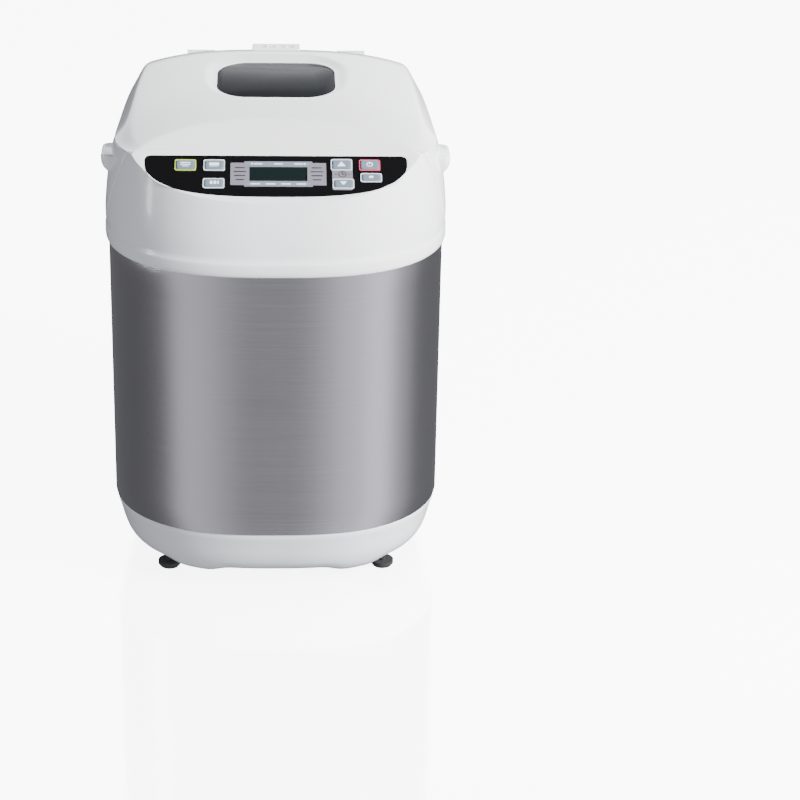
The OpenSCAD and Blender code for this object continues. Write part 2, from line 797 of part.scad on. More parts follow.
module lid_form(inset) {
    first = lid_front + inset;
    last = lid_back - inset;
    base = lid_z - (inset > 0 ? 1 : 0);
    rows = [for (s = lid_stations) lid_row(first + (last - first) * s, inset, base + 0.2)];
    n = len(rows[0]);
    m = len(rows);
    tops = [for (row = rows) each row];
    rim = concat([for (i = [0:n - 1]) i], [for (k = [1:m - 1]) k * n + n - 1],
        [for (i = [n - 2:-1:0]) (m - 1) * n + i], [for (k = [m - 2:-1:1]) k * n]);
    foot = [for (i = rim) [tops[i][0], tops[i][1], base]];
    count = len(rim);
    hub = m * n + count;
    polyhedron(concat(tops, foot, [[0, front_y + (first + last) / 2, base]]), concat(
        [for (k = [0:m - 2]) for (i = [0:n - 2]) let (a = k * n + i)
            each [[a, a + n, a + n + 1], [a, a + n + 1, a + 1]]],
        [for (i = [0:count - 1]) let (j = (i + 1) % count, a = m * n + i, b = m * n + j)
            each [[rim[i], rim[j], b], [rim[i], b, a], [hub, a, b]]]));
}

window_back = 158.5;
window_y = front_y + window_back;
window_slope = 3.5;
glass_z = lid_middle(window_back - window_d / 2) - 0.6;
ledge = 4;
seal_t = 1;
liner_z = lid_z + 5;
liner_t = 1.2;
liner_w = chamber_w + 2 * flange_w + 2;
liner_d = chamber_d + 2 * flange_w;
boss_places = [for (x = [-1, 1]) for (y = [-1, 1])
    [x * (chamber_w / 2 - 9), chamber_y + y * (chamber_d / 2 - 11)]];
lid_screw_r = 1.5;
vent_w = 43;
vent_d = 15;
vent_back = 233;
vent_top = crest_z + 1;
arm_w = 14;
arm_low = lid_z + 0.5;
knuckle_r = 5;
hinge_y = front_y + hinge_back;
hinge_z = lid_z + hinge_up;

// Places children on the window's plane, with the glass's upper face at zero
module on_window() {
    translate([0, window_y - window_d / 2, glass_z]) rotate([window_slope, 0, 0])
        translate([0, window_d / 2, 0]) children();
}

module lid_shell() {
    pocket = -glass_t - seal_t;
    color(white) difference() {
        union() {
            difference() {
                lid_form(0);
                lid_form(wall);
            }
            intersection() {
                lid_form(wall / 2);
                union() {
                    translate([0, window_y, liner_z + liner_t])
                        round_box(window_w + 5, window_d + 5, window_r + 2.5, 40);
                    for (p = boss_places) translate([p[0], p[1], liner_z + liner_t]) cylinder(r = 4, h = 30);
                }
            }
        }
        on_window() translate([0, 0, pocket]) round_box(window_w, window_d, window_r, 20);
        translate([0, window_y, lid_z - 1])
            round_box(window_w - 2 * ledge, window_d - 2 * ledge, window_r - ledge, 40);
        for (p = boss_places) translate([p[0], p[1], lid_z]) cylinder(r = lid_screw_r, h = 13);
        translate([0, front_y + vent_back, liner_z]) round_box(vent_w - 6, vent_d - 6, 2, 40);
        for (x = [-1, 1]) translate([x * hinge_span / 2 - arm_w / 2, hinge_y - 24, lid_z - 1])
            cube([arm_w, 40, 5.5]);
    }
}

module lid_liner() {
    color([0.72, 0.72, 0.72]) translate([0, chamber_y, liner_z]) difference() {
        round_box(liner_w, liner_d, chamber_r + flange_w, liner_t);
        translate([0, window_y - chamber_y, -1])
            round_box(window_w - 2 * ledge, window_d - 2 * ledge, window_r - ledge, 5);
        for (p = boss_places) translate([p[0], p[1] - chamber_y, -1]) cylinder(r = lid_screw_r, h = 5);
        for (x = [-2:2]) translate([x * 8, front_y + vent_back - chamber_y - 4, -1]) cylinder(r = 1.8, h = 5);
    }
}

module lid_gasket() {
    low = deck_z + chamber_t + slide_fit;
    color(dark) translate([0, chamber_y, low])
        round_tube(chamber_w + 4, chamber_d + 4, chamber_r + 2, 4, liner_z - low);
}

module window_glass() {
    color([0.3, 0.32, 0.34, 0.5]) on_window() translate([0, 0, -glass_t])
        round_box(window_w - 0.4, window_d - 0.4, window_r - 0.2, glass_t);
}

module window_trim() {
    color(dark) on_window() translate([0, 0, -glass_t - seal_t]) difference() {
        round_box(window_w - 0.4, window_d - 0.4, window_r - 0.2, seal_t);
        translate([0, 0, -1]) round_box(window_w - 2 * ledge, window_d - 2 * ledge, window_r - ledge, 5);
    }
}

module steam_vent() {
    color(white) translate([0, front_y + vent_back, 0]) difference() {
        union() {
            translate([0, 0, lid_z + 16]) round_box(vent_w - 6, vent_d - 6, 2, 10);
            intersection() {
                translate([0, 0, vent_top - 9]) round_box(vent_w, vent_d, 4, 9);
                translate([0, -front_y - vent_back, 0]) difference() {
                    translate([-vent_w, front_y + 200, crest_z - 30]) cube([2 * vent_w, 60, 40]);
                    lid_form(0);
                }
            }
        }
        translate([0, 0, lid_z + 10]) round_box(vent_w - 9, vent_d - 9, 1, vent_top - lid_z - 11.2);
        for (x = [-1.5:1.5]) translate([x * 8.6 - 3, -2, vent_top - 5]) cube([6, 4, 10]);
    }
}

module lid_hinge_arms() {
    color(white) for (x = [-1, 1]) translate([x * hinge_span / 2, hinge_y, 0]) difference() {
        union() {
            translate([-arm_w / 2, -24, arm_low]) cube([arm_w, 19, 4]);
            translate([-arm_w / 2, -12, arm_low + 1]) cube([arm_w, 12, hinge_z - arm_low - 0.5]);
            translate([0, 0, hinge_z]) rod_x(knuckle_r, arm_w);
        }
        translate([0, 0, hinge_z]) rod_x(hinge_pin_r + run_fit, arm_w + 2);
    }
}

bracket_t = 4;
bracket_base = 1;

module hinge_brackets() {
    color(white) for (x = [-1, 1]) translate([x * hinge_span / 2, hinge_y, 0]) difference() {
        union() {
            translate([-arm_w / 2 - slide_fit - bracket_t, -4, deck_z])
                cube([arm_w + 2 * slide_fit + 2 * bracket_t, 12, bracket_base]);
            for (side = [-1, 1]) translate([side * (arm_w / 2 + slide_fit + bracket_t / 2), 0, 0]) {
                translate([-bracket_t / 2, -knuckle_r, deck_z])
                    cube([bracket_t, 2 * knuckle_r, hinge_z - deck_z]);
                translate([0, 0, hinge_z]) rod_x(knuckle_r, bracket_t);
            }
        }
        translate([0, 0, hinge_z]) rod_x(hinge_pin_r, 60);
    }
}

module hinge_pins() {
    color(steel) for (x = [-1, 1]) translate([x * hinge_span / 2, hinge_y, hinge_z])
        rod_x(hinge_pin_r, arm_w + 2 * slide_fit + 2 * bracket_t);
}

module lid_screws() {
    color(dark) for (p = boss_places) translate([p[0], p[1], liner_z]) {
        translate([0, 0, -1.6]) cylinder(r = 3, h = 1.6);
        translate([0, 0, -0.1]) cylinder(r = lid_screw_r, h = 8);
    }
}

// ---- Bread pan ----

pan_gap = 0.4;
pan_z = chamber_z + pan_gap + pan_ring_h;
pan_top = pan_z + pan_h;
rim_w = 3;
pan_bush_r = 8;
lug_d = 16;
lug_t = 2;
bail_z = pan_top + 5.5;
bail_half = pan_w / 2 + rim_w + 3.5;
bail_reach = pan_d / 2 + rim_w + 3.5;
bail_bend = 10;
lug_x = pan_w / 2 + rim_w - lug_t;

module bread_pan() {
    color([0.33, 0.33, 0.34]) translate([0, chamber_y, 0]) difference() {
        union() {
            translate([0, 0, pan_z]) difference() {
                round_box(pan_w, pan_d, pan_r, pan_h);
                translate([0, 0, pan_t])
                    round_box(pan_w - 2 * pan_t, pan_d - 2 * pan_t, pan_r - pan_t, pan_h);
            }
            translate([0, 0, pan_top - pan_t]) round_tube(pan_w - pan_t, pan_d - pan_t, pan_r - pan_t / 2,
                rim_w + pan_t / 2, pan_t);
            for (x = [-1, 1]) translate([x * (lug_x + lug_t / 2), 0, 0]) {
                translate([-lug_t / 2, -lug_d / 2, pan_top - pan_t])
                    cube([lug_t, lug_d, bail_z - pan_top + pan_t]);
                translate([0, 0, bail_z]) rod_x(lug_d / 2, lug_t);
            }
        }
        translate([0, 0, pan_z - 1]) cylinder(r = pan_bush_r, h = pan_t + 2);
        translate([0, 0, bail_z]) rod_x(bail_r + 0.08, 2 * pan_w);
        translate([0, 0, bail_z + 5.5]) translate([-pan_w, -pan_d, 0]) cube([2 * pan_w, 2 * pan_d, 20]);
    }
}

module pan_base() {
    color(steel) translate([0, chamber_y, chamber_z + pan_gap]) difference() {
        cylinder(r = pan_ring_r, h = pan_ring_h);
        translate([0, 0, -1]) cylinder(r = pan_ring_r - 4, h = pan_ring_h - 3 + 1);
        translate([0, 0, -1]) cylinder(r = pan_bush_r, h = pan_ring_h + 2);
    }
}

bush_drop = 12;

module pan_bush() {
    color([0.7, 0.5, 0.25]) translate([0, chamber_y, pan_z - bush_drop]) difference() {
        union() {
            cylinder(r = pan_bush_r, h = bush_drop + pan_t);
            translate([0, 0, bush_drop + pan_t]) cylinder(r = pan_bush_r + 3, h = 2);
        }
        translate([0, 0, -1]) cylinder(r = shaft_r + run_fit, h = bush_drop + pan_t + 4);
    }
}

// Wire handle that lies round the back of the rim and swings up about its two ends
module bail_handle() {
    color(steel) translate([0, chamber_y, bail_z]) {
        for (x = [-1, 1]) {
            translate([x * (bail_half - 4.5), 0, 0]) rod_x(bail_r, 9);
            translate([x * bail_half, 0, 0]) sphere(bail_r);
            translate([x * bail_half, (bail_reach - bail_bend) / 2, 0])
                rotate([90, 0, 0]) cylinder(r = bail_r, h = bail_reach - bail_bend, center = true);
        }
        translate([bail_half - bail_bend, bail_reach - bail_bend, 0]) bend(bail_bend, bail_r);
        translate([-bail_half + bail_bend, bail_reach - bail_bend, 0]) rotate([0, 0, 90])
            bend(bail_bend, bail_r);
        translate([0, bail_reach, 0]) rod_x(bail_r, 2 * (bail_half - bail_bend));
    }
}

wing_z = coupler_z + 7.5;
wing_h = 6;
paddle_z = pan_z + pan_t + 2 + 1;
hub_h = 22;
shaft_top = paddle_z + hub_h - 4;
flat_x = 2.6;

module pan_shaft() {
    color(steel) translate([0, chamber_y, 0]) difference() {
        translate([0, 0, wing_z]) cylinder(r = shaft_r, h = shaft_top - wing_z);
        translate([flat_x, -10, paddle_z]) cube([10, 20, 40]);
    }
}

module wing_coupling() {
    color(steel) translate([0, chamber_y, wing_z]) difference() {
        union() {
            cylinder(r = 7, h = wing_h);
            translate([-2.5, -13, 0]) cube([5, 26, wing_h]);
        }
        translate([0, 0, -1]) cylinder(r = shaft_r, h = wing_h + 2);
    }
}

blade_t = 2;
blade_fold = 24;
blade_reach = 50;
blade_tip = 46;
fold_turn = 32;

// Kneading paddle: a hub with a flange, and a thin blade folded along a slanting line
module kneading_paddle() {
    color([0.2, 0.2, 0.21]) translate([0, chamber_y, paddle_z]) difference() {
        union() {
            cylinder(r = 12, h = 3);
            translate([0, 0, 3]) cylinder(r1 = 9.5, r2 = 7.5, h = hub_h - 3);
            rotate([90, 0, 0]) linear_extrude(blade_t, center = true)
                polygon([[6, 0], [blade_fold, 0], [blade_fold, 36], [6, 18]]);
            translate([blade_fold, 0, 0]) rotate([0, 0, fold_turn]) rotate([90, 0, 0])
                linear_extrude(blade_t, center = true) polygon([[-0.5, 0], [blade_reach - blade_fold, 3],
                    [blade_reach - blade_fold - 4, 20], [blade_reach - blade_fold - 12, blade_tip],
                    [-0.5, 36]]);
        }
        translate([0, 0, -1]) difference() {
            cylinder(r = shaft_r + 0.15, h = hub_h + 2);
            translate([flat_x + 0.25, -10, 0]) cube([10, 20, hub_h + 2]);
        }
    }
}

base_tray();
bottom_plate();
rubber_feet();
steel_band();
upper_housing();
front_fascia();
side_handles();
panel_overlay();
display_plate();
display_glass();
silver_frames();
menu_frame();
start_frame();
lcd_module();
control_board();
oven_chamber();
pan_seat();
heating_element();
element_clips();
temperature_sensor();
thermal_fuse();
chassis_plate();
chassis_posts();
bearing_housing();
drive_bushes();
motor_body();
motor_capacitor();
power_board();
mains_gland();
hinge_brackets();
hinge_pins();
drive_belt();
chassis_screws();
lid_shell();
lid_liner();
lid_gasket();
window_glass();
window_trim();
steam_vent();
lid_hinge_arms();
lid_screws();
menu_button();
loaf_button();
crust_button();
up_button();
down_button();
start_button();
stop_button();
drive_pulley();
drive_shaft();
drive_coupler();
motor_shaft();
motor_pulley();
bread_pan();
pan_base();
pan_bush();
bail_handle();
pan_shaft();
wing_coupling();
kneading_paddle();
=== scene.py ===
import json
import math
import bmesh
import bpy
from mathutils import Matrix, Vector


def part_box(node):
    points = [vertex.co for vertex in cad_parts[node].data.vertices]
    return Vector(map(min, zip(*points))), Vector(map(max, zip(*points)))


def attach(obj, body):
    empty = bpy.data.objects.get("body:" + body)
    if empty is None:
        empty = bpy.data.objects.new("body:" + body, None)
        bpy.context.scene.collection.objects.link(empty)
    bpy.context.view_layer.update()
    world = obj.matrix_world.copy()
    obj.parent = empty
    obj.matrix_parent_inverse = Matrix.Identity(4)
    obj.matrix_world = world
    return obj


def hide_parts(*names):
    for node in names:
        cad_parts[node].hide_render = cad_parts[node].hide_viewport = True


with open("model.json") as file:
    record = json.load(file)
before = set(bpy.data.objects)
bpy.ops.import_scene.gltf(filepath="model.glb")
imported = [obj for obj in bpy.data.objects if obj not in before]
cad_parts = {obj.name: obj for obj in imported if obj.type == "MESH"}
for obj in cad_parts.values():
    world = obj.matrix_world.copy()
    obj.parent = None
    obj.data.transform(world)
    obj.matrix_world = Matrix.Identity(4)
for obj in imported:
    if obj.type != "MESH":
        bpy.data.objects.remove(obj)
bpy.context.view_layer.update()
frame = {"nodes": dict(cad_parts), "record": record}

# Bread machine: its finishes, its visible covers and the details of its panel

MM = 0.001


# ---------------------------------------------------------------- sizes

band_low, band_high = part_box("steel_band")
housing_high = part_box("upper_housing")[1]
lid_low, lid_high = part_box("lid_shell")
tray_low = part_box("base_tray")[0]
grip_low, grip_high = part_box("side_handles")
vent_low, vent_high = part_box("steam_vent")
chamber_low, chamber_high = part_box("oven_chamber")

HALF_W = band_high.x
FRONT = band_low.y
BACK = band_high.y
WIDEST_BACK = 98.6
WIDEST = FRONT + WIDEST_BACK * MM
BAND_Z = band_low.z
SEAM_Z = band_high.z
DECK_Z = housing_high.z
LID_Z = lid_low.z
LID_FRONT = lid_low.y
LID_BACK = lid_high.y
CREST_Z = lid_high.z
PANEL_TILT = math.radians(26.0)
PANEL_FRONT = FRONT + 7 * MM
PANEL_TOP = LID_FRONT - 0.6 * MM
PANEL_TOP_Z = LID_Z + 2 * MM
PANEL_LOW_Z = PANEL_TOP_Z - (PANEL_TOP - PANEL_FRONT) * math.tan(PANEL_TILT)
PANEL_UP = Vector((0, math.cos(PANEL_TILT), math.sin(PANEL_TILT)))
PANEL_NORMAL = Vector((0, -math.sin(PANEL_TILT), math.cos(PANEL_TILT)))


# ---------------------------------------------------------------- camera

CAMERA_HEIGHT = 0.9546
CAMERA_BACK = 1.7286
CAMERA_TILT = math.radians(24.48)
CAMERA_TURN = math.radians(2.83)

eye = bpy.data.cameras.new("camera")
eye.lens = 112.8
eye.sensor_width = 36.0
camera = bpy.data.objects.new("camera", eye)
bpy.context.scene.collection.objects.link(camera)
bpy.context.scene.camera = camera
look = Matrix.Rotation(math.pi / 2 - CAMERA_TILT, 4, "X") @ Matrix.Rotation(-CAMERA_TURN, 4, "Y")
camera.matrix_world = Matrix.Translation((0, FRONT - CAMERA_BACK, CAMERA_HEIGHT)) @ look


# ---------------------------------------------------------------- shader maths

class Link:
    """One output socket of a finish, with arithmetic that adds Math nodes."""

    def __init__(self, finish, socket):
        self.finish = finish
        self.socket = socket

    def _math(self, operation, *values):
        return self.finish.node("ShaderNodeMath", {"operation": operation}, dict(enumerate(values)))

    def __add__(self, other):
        return self._math("ADD", self, other)

    def __sub__(self, other):
        return self._math("SUBTRACT", self, other)

    def __rsub__(self, other):
        return self._math("SUBTRACT", other, self)

    def __mul__(self, other):
        return self._math("MULTIPLY", self, other)

    def __gt__(self, other):
        return self._math("GREATER_THAN", self, other)

    __radd__ = __add__
    __rmul__ = __mul__

    def within(self, low, high):
        return self.finish.node("ShaderNodeClamp", {}, {"Value": self, "Min": low, "Max": high})


class Shading:
    """A node tree with one method that makes nodes."""

    def __init__(self, tree):
        self.tree = tree

    def node(self, kind, settings, inputs, output=0):
        made = self.tree.nodes.new(kind)
        for key, value in settings.items():
            if key == "stops":
                for index, (place, shade) in enumerate(value):
                    stops = made.color_ramp.elements
                    stop = stops[index] if index < len(stops) else stops.new(place)
                    stop.position = place
                    stop.color = shade if len(shade) == 4 else (*shade, 1.0)
            else:
                setattr(made, key, value)
        for key, value in inputs.items():
            if isinstance(value, Link):
                self.tree.links.new(value.socket, made.inputs[key])
            else:
                made.inputs[key].default_value = value
        return Link(self, made.outputs[output])


class Finish(Shading):
    """A material built round one Principled shader."""

    def __init__(self, name, color, roughness, **constants):
        self.material = bpy.data.materials.new(name)
        self.material.use_nodes = True
        super().__init__(self.material.node_tree)
        self.shader = self.tree.nodes["Principled BSDF"]
        self.set("Base Color", (*color, 1.0))
        self.set("Roughness", roughness)
        for socket, value in constants.items():
            self.set(socket.replace("_", " "), value)

    def set(self, socket, value):
        if isinstance(value, Link):
            self.tree.links.new(value.socket, self.shader.inputs[socket])
        else:
            self.shader.inputs[socket].default_value = value

    def place(self, scale=(1, 1, 1)):
        at = self.node("ShaderNodeTexCoord", {}, {}, "Object")
        return self.node("ShaderNodeMapping", {}, {"Vector": at, "Scale": scale})

    def noise(self, scale, detail=2.0, rough=0.5, stretch=(1, 1, 1)):
        return self.node("ShaderNodeTexNoise", {}, {"Vector": self.place(stretch), "Scale": scale,
                                                    "Detail": detail, "Roughness": rough}, "Fac")

    def axis(self, which):
        at = self.node("ShaderNodeTexCoord", {}, {}, "Object")
        return self.node("ShaderNodeSeparateXYZ", {}, {"Vector": at}, which)

    def tint(self, mask, first, second):
        return self.node("ShaderNodeMix", {"data_type": "RGBA"},
                         {"Factor": mask, 6: (*first, 1.0), 7: (*second, 1.0)}, 2)

    def bump(self, height, distance, strength):
        self.set("Normal", self.node("ShaderNodeBump", {}, {"Height": height, "Distance": distance,
                                                             "Strength": strength}))


def shade(color, share):
    return tuple(min(1.0, c * share) for c in color)


# ---------------------------------------------------------------- finishes

def moulded_plastic(name, color, gloss, grain=0.00002):
    """Injection-moulded gloss plastic: faint flow marks, soft orange peel and hairline wear."""
    finish = Finish(name, color, gloss, Coat_Weight=0.35, Coat_Roughness=0.06, IOR=1.5)
    cloud = finish.noise(14.0, 3.0)
    finish.set("Base Color", finish.tint(cloud, shade(color, 0.975), shade(color, 1.015)))
    scuff = finish.noise(90.0, 6.0, 0.7, (1, 1, 0.3))
    finish.set("Roughness", (gloss - 0.03) + scuff * 0.07)
    finish.bump(finish.noise(420.0, 2.0), grain, 0.5)
    return finish.material


def brushed_sheet(name, color, rough, along):
    """Brushed metal: fine lines drawn out along the brushing, with a cloudy change of lustre."""
    finish = Finish(name, color, rough, Metallic=1.0, Anisotropic=0.75)
    lines = finish.noise(1.0, 4.0, 0.62, along)
    fine = finish.noise(1.0, 2.0, 0.5, tuple(3.1 * a for a in along))
    streak = lines * 0.6 + fine * 0.4
    finish.set("Base Color", finish.tint(streak, shade(color, 0.86), shade(color, 1.12)))
    finish.set("Roughness", (rough - 0.06) + streak * 0.12 + finish.noise(7.0, 2.0) * 0.05)
    finish.bump(streak, 0.00006, 0.35)
    return finish.material


def plain_metal(name, color, rough, metallic=1.0, grain=0.00003):
    """Plain metal with faint smears and a fine random grain."""
    finish = Finish(name, color, rough, Metallic=metallic)
    cloud = finish.noise(35.0, 5.0, 0.6)
    finish.set("Base Color", finish.tint(cloud, shade(color, 0.88), shade(color, 1.08)))
    finish.set("Roughness", (rough - 0.06) + cloud * 0.14)
    finish.bump(finish.noise(700.0, 3.0), grain, 0.5)
    return finish.material


def dark_rubber(name, color):
    """Moulded rubber: matt, dusty in the hollows of a fine grain."""
    finish = Finish(name, color, 0.7)
    dust = finish.noise(60.0, 5.0, 0.65)
    finish.set("Base Color", finish.tint(dust, color, shade(color, 1.7)))
    finish.set("Roughness", 0.62 + dust * 0.2)
    finish.bump(finish.noise(900.0, 2.0), 0.00004, 0.7)
    return finish.material


def nonstick(name, color):
    """Speckled non-stick coating over drawn metal."""
    finish = Finish(name, color, 0.36, Coat_Weight=0.25, Coat_Roughness=0.25)
    cells = finish.node("ShaderNodeTexVoronoi", {}, {"Vector": finish.place(), "Scale": 1400.0}, "Distance")
    fleck = finish.noise(1500.0, 1.0) > 0.66
    finish.set("Base Color", finish.tint(fleck, color, shade(color, 2.0)))
    finish.set("Roughness", 0.3 + finish.noise(40.0, 4.0) * 0.14)
    finish.bump(cells, 0.00003, 0.6)
    return finish.material


def printed_face(name, color, gloss=0.3):
    """Printed plastic with a tiny ink grain."""
    finish = Finish(name, color, gloss, Coat_Weight=0.2, Coat_Roughness=0.15)
    ink = finish.noise(260.0, 3.0, 0.6)
    finish.set("Base Color", finish.tint(ink, shade(color, 0.93), shade(color, 1.07)))
    finish.set("Roughness", (gloss - 0.03) + ink * 0.07)
    finish.bump(finish.noise(1600.0, 1.0), 0.00001, 0.4)
    return finish.material


def smoked_glass(name, color):
    """Tinted window with faint wiping marks, and a painted reflection that lightens its far edge."""
    finish = Finish(name, color, 0.06, IOR=1.13, Specular_IOR_Level=0.1, Alpha=0.96)
    wipe = finish.noise(26.0, 4.0, 0.6, (1, 0.25, 1))
    # Painted reflection: the glass colour is made lighter towards the window's far edge. Below, it is mixed
    # with the real wiping marks.
    far = ((finish.axis("Y") - 0.030) * 160.0).within(0.0, 1.0)
    finish.set("Roughness", 0.04 + wipe * 0.05)
    finish.set("Base Color", finish.tint(far * 0.8 + wipe * 0.2, shade(color, 0.85), shade(color, 2.4)))
    return finish.material


def circuit_board(name, color):
    """Green board with tracks and small pads."""
    finish = Finish(name, color, 0.4)
    tracks = finish.node("ShaderNodeTexBrick", {"offset": 0.37}, {"Vector": finish.place((160, 160, 160)),
                         "Color1": (*color, 1), "Color2": (*shade(color, 1.35), 1),
                         "Mortar": (*shade(color, 2.2), 1), "Mortar Size": 0.03})
    finish.set("Base Color", tracks)
    finish.set("Roughness", 0.34 + finish.noise(220.0) * 0.12)
    finish.bump(finish.noise(500.0, 2.0), 0.00004, 0.5)
    return finish.material


WHITE = (0.80, 0.81, 0.83)
BAND = (0.52, 0.505, 0.52)

finishes = {
    "white_plastic": moulded_plastic("white moulded plastic", WHITE, 0.22),
    "handle_plastic": moulded_plastic("satin grip plastic", (0.80, 0.81, 0.835), 0.34, 0.00004),
    "steel_band": brushed_sheet("brushed steel band", BAND, 0.22, (9, 9, 2600)),
    "rubber": dark_rubber("black rubber", (0.022, 0.022, 0.023)),
    "silicone": dark_rubber("grey silicone", (0.28, 0.285, 0.29)),
    "panel_black": printed_face("black overlay", (0.004, 0.004, 0.0045), 0.2),
    "panel_grey": printed_face("grey display surround", (0.17, 0.162, 0.19), 0.34),
    "display_glass": printed_face("dark display window", (0.006, 0.011, 0.011), 0.1),
    "frame_silver": printed_face("silver frame", (0.62, 0.68, 0.74), 0.3),
    "frame_green": printed_face("green frame", (0.42, 0.56, 0.07), 0.3),
    "frame_red": printed_face("red frame", (0.60, 0.06, 0.13), 0.3),
    "button_face": printed_face("button face", (0.13, 0.17, 0.21), 0.32),
    "lcd": printed_face("display cell", (0.10, 0.13, 0.10), 0.3),
    "circuit_board": circuit_board("circuit board", (0.01, 0.09, 0.035)),
    "oven_sheet": brushed_sheet("oven sheet", (0.50, 0.50, 0.49), 0.36, (12, 12, 1500)),
    "steel_part": plain_metal("plain steel", (0.48, 0.48, 0.49), 0.32),
    "element": plain_metal("element sheath", (0.055, 0.05, 0.048), 0.5, 0.7),
    "ceramic": printed_face("ceramic", (0.66, 0.64, 0.58), 0.6),
    "die_cast": plain_metal("die-cast metal", (0.46, 0.46, 0.47), 0.5, 1.0, 0.00012),
    "sintered_bronze": plain_metal("sintered bronze", (0.42, 0.25, 0.10), 0.42),
    "motor_steel": plain_metal("motor lacquer", (0.07, 0.075, 0.085), 0.42, 0.4),
    "capacitor": printed_face("capacitor can", (0.55, 0.53, 0.47), 0.45),
    "screw_steel": plain_metal("zinc-plated steel", (0.50, 0.50, 0.50), 0.28),
    "window_glass": smoked_glass("smoked window", (0.013, 0.014, 0.016)),
    "pulley_plastic": printed_face("natural nylon", (0.62, 0.61, 0.55), 0.5),
    "nonstick": nonstick("non-stick coating", (0.035, 0.032, 0.032)),
}

slot_of = {part["node"]: part["material_slot"] for part in frame["record"]["subparts"]}
for node_name, node_object in frame["nodes"].items():
    node_object.data.materials.clear()
    node_object.data.materials.append(finishes[slot_of[node_name]])


# ---------------------------------------------------------------- making pieces

def mesh_object(name, bm, material):
    """Ends a bmesh as an object with one material."""
    mesh = bpy.data.meshes.new(name)
    bm.to_mesh(mesh)
    bm.free()
    made = bpy.data.objects.new(name, mesh)
    bpy.context.scene.collection.objects.link(made)
    mesh.materials.append(material)
    return made


def piece(name, bm, slot, body, nodes=(), smooth=50, material=None):
    """A piece with its finish, on its body, standing for the nodes it covers; smooth is a crease angle."""
    made = mesh_object(name, bm, material or finishes[slot])
    if smooth:
        for face in made.data.polygons:
            face.use_smooth = True
        made.data.set_sharp_from_angle(angle=math.radians(smooth))
    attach(made, body)
    if nodes:
        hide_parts(*nodes)
    return made


def thicken(made, amount):
    """Gives a cover its wall, inwards from its outer face."""
    solid = made.modifiers.new("wall", "SOLIDIFY")
    solid.thickness = amount
    solid.offset = -1.0


def soften(made, width, angle):
    """Rounds the edges that are sharper than an angle in degrees."""
    edge = made.modifiers.new("edge", "BEVEL")
    edge.width = width
    edge.segments = 3
    edge.limit_method = "ANGLE"
    edge.angle_limit = math.radians(angle)
    edge.harden_normals = True


def edge_line(bm, verts):
    return [bm.edges.new(pair) for pair in zip(verts, verts[1:])]


def edge_loop(bm, points):
    verts = [bm.verts.new(p) for p in points]
    return edge_line(bm, verts + verts[:1])


def straight_edge(bm, first, last, steps):
    """A straight line of edges between two vertices."""
    between = [bm.verts.new(first.co.lerp(last.co, k / steps)) for k in range(1, steps)]
    return edge_line(bm, [first] + between + [last])


def only_verts(geom):
    return [g for g in geom if isinstance(g, bmesh.types.BMVert)]


def still_there(edges):
    return [e for e in edges if e.is_valid]


def wall_from(bm, edges, vec):
    """Extrudes open edges to a wall that runs along a vector."""
    wall = bmesh.ops.extrude_edge_only(bm, edges=edges)["geom"]
    bmesh.ops.translate(bm, verts=only_verts(wall), vec=vec)


def close_ends(bm, loops):
    bmesh.ops.edgeloop_fill(bm, edges=loops[0])
    bmesh.ops.edgeloop_fill(bm, edges=loops[-1])


def bridge(bm, loops):
    for lower, upper in zip(loops, loops[1:]):
        bmesh.ops.bridge_loops(bm, edges=lower + upper)


def step_in(bm, verts, spots):
    """Extrudes a closed line of vertices to a new line of places, and returns its vertices."""
    edges = [bm.edges.get((a, b)) for a, b in zip(verts, verts[1:] + verts[:1])]
    made = set(only_verts(bmesh.ops.extrude_edge_only(bm, edges=edges)["geom"]))
    inner = [next(e.other_vert(v) for e in v.link_edges if e.other_vert(v) in made) for v in verts]
    for vert, spot in zip(inner, spots):
        vert.co = spot
    return inner


def flat_fill(bm, edges, normal):
    """Closes the area between an outer line and the holes in it."""
    bmesh.ops.triangle_fill(bm, use_beauty=True, use_dissolve=False, edges=edges, normal=normal)


def face_out(bm):
    bmesh.ops.remove_doubles(bm, verts=bm.verts, dist=0.00001)
    bmesh.ops.recalc_face_normals(bm, faces=bm.faces)


def bevel_edges(bm, edges, offset, segments):
    bmesh.ops.bevel(bm, geom=edges, offset=offset, offset_type="OFFSET", segments=segments, profile=0.5,
                    affect="EDGES", clamp_overlap=True, material=-1)


def rounded_outline(width, depth, radius, steps):
    """Points of a rectangle with round corners, centred, anticlockwise from the front left."""
    points = []
    for turn, (sx, sy) in enumerate([(1, -1), (1, 1), (-1, 1), (-1, -1)]):
        for k in range(steps + 1):
            angle = math.radians(-90 + 90 * turn + 90 * k / steps)
            points.append((sx * (width / 2 - radius) + radius * math.cos(angle),
                           sy * (depth / 2 - radius) + radius * math.sin(angle)))
    return points


# ---------------------------------------------------------------- casing outline

FRONT_BOW = 2.06
SIDE_BOW = 2.74
BACK_SQUARE = 5.0
BACK_TAPER = 0.08
HALF_POINTS = 121


def half_outline(half, front, back, steps):
    """Right half of the casing seen from above, from the middle of the front to the middle of the back."""
    reach = WIDEST - front
    run = back - WIDEST
    points = []
    for k in range(steps + 1):
        t = math.pi / 2 * k / steps
        points.append((half * math.sin(t) ** (2 / SIDE_BOW), WIDEST - reach * math.cos(t) ** (2 / FRONT_BOW)))
    for k in range(1, steps + 1):
        t = math.pi / 2 * (k / steps)
        u = math.sin(t) ** (2 / BACK_SQUARE)
        points.append((half * (1 - BACK_TAPER * u) * max(0.0, math.cos(t)) ** (2 / BACK_SQUARE),
                       WIDEST + run * u))
    points[0] = (0.0, front)
    points[-1] = (0.0, back)
    return points


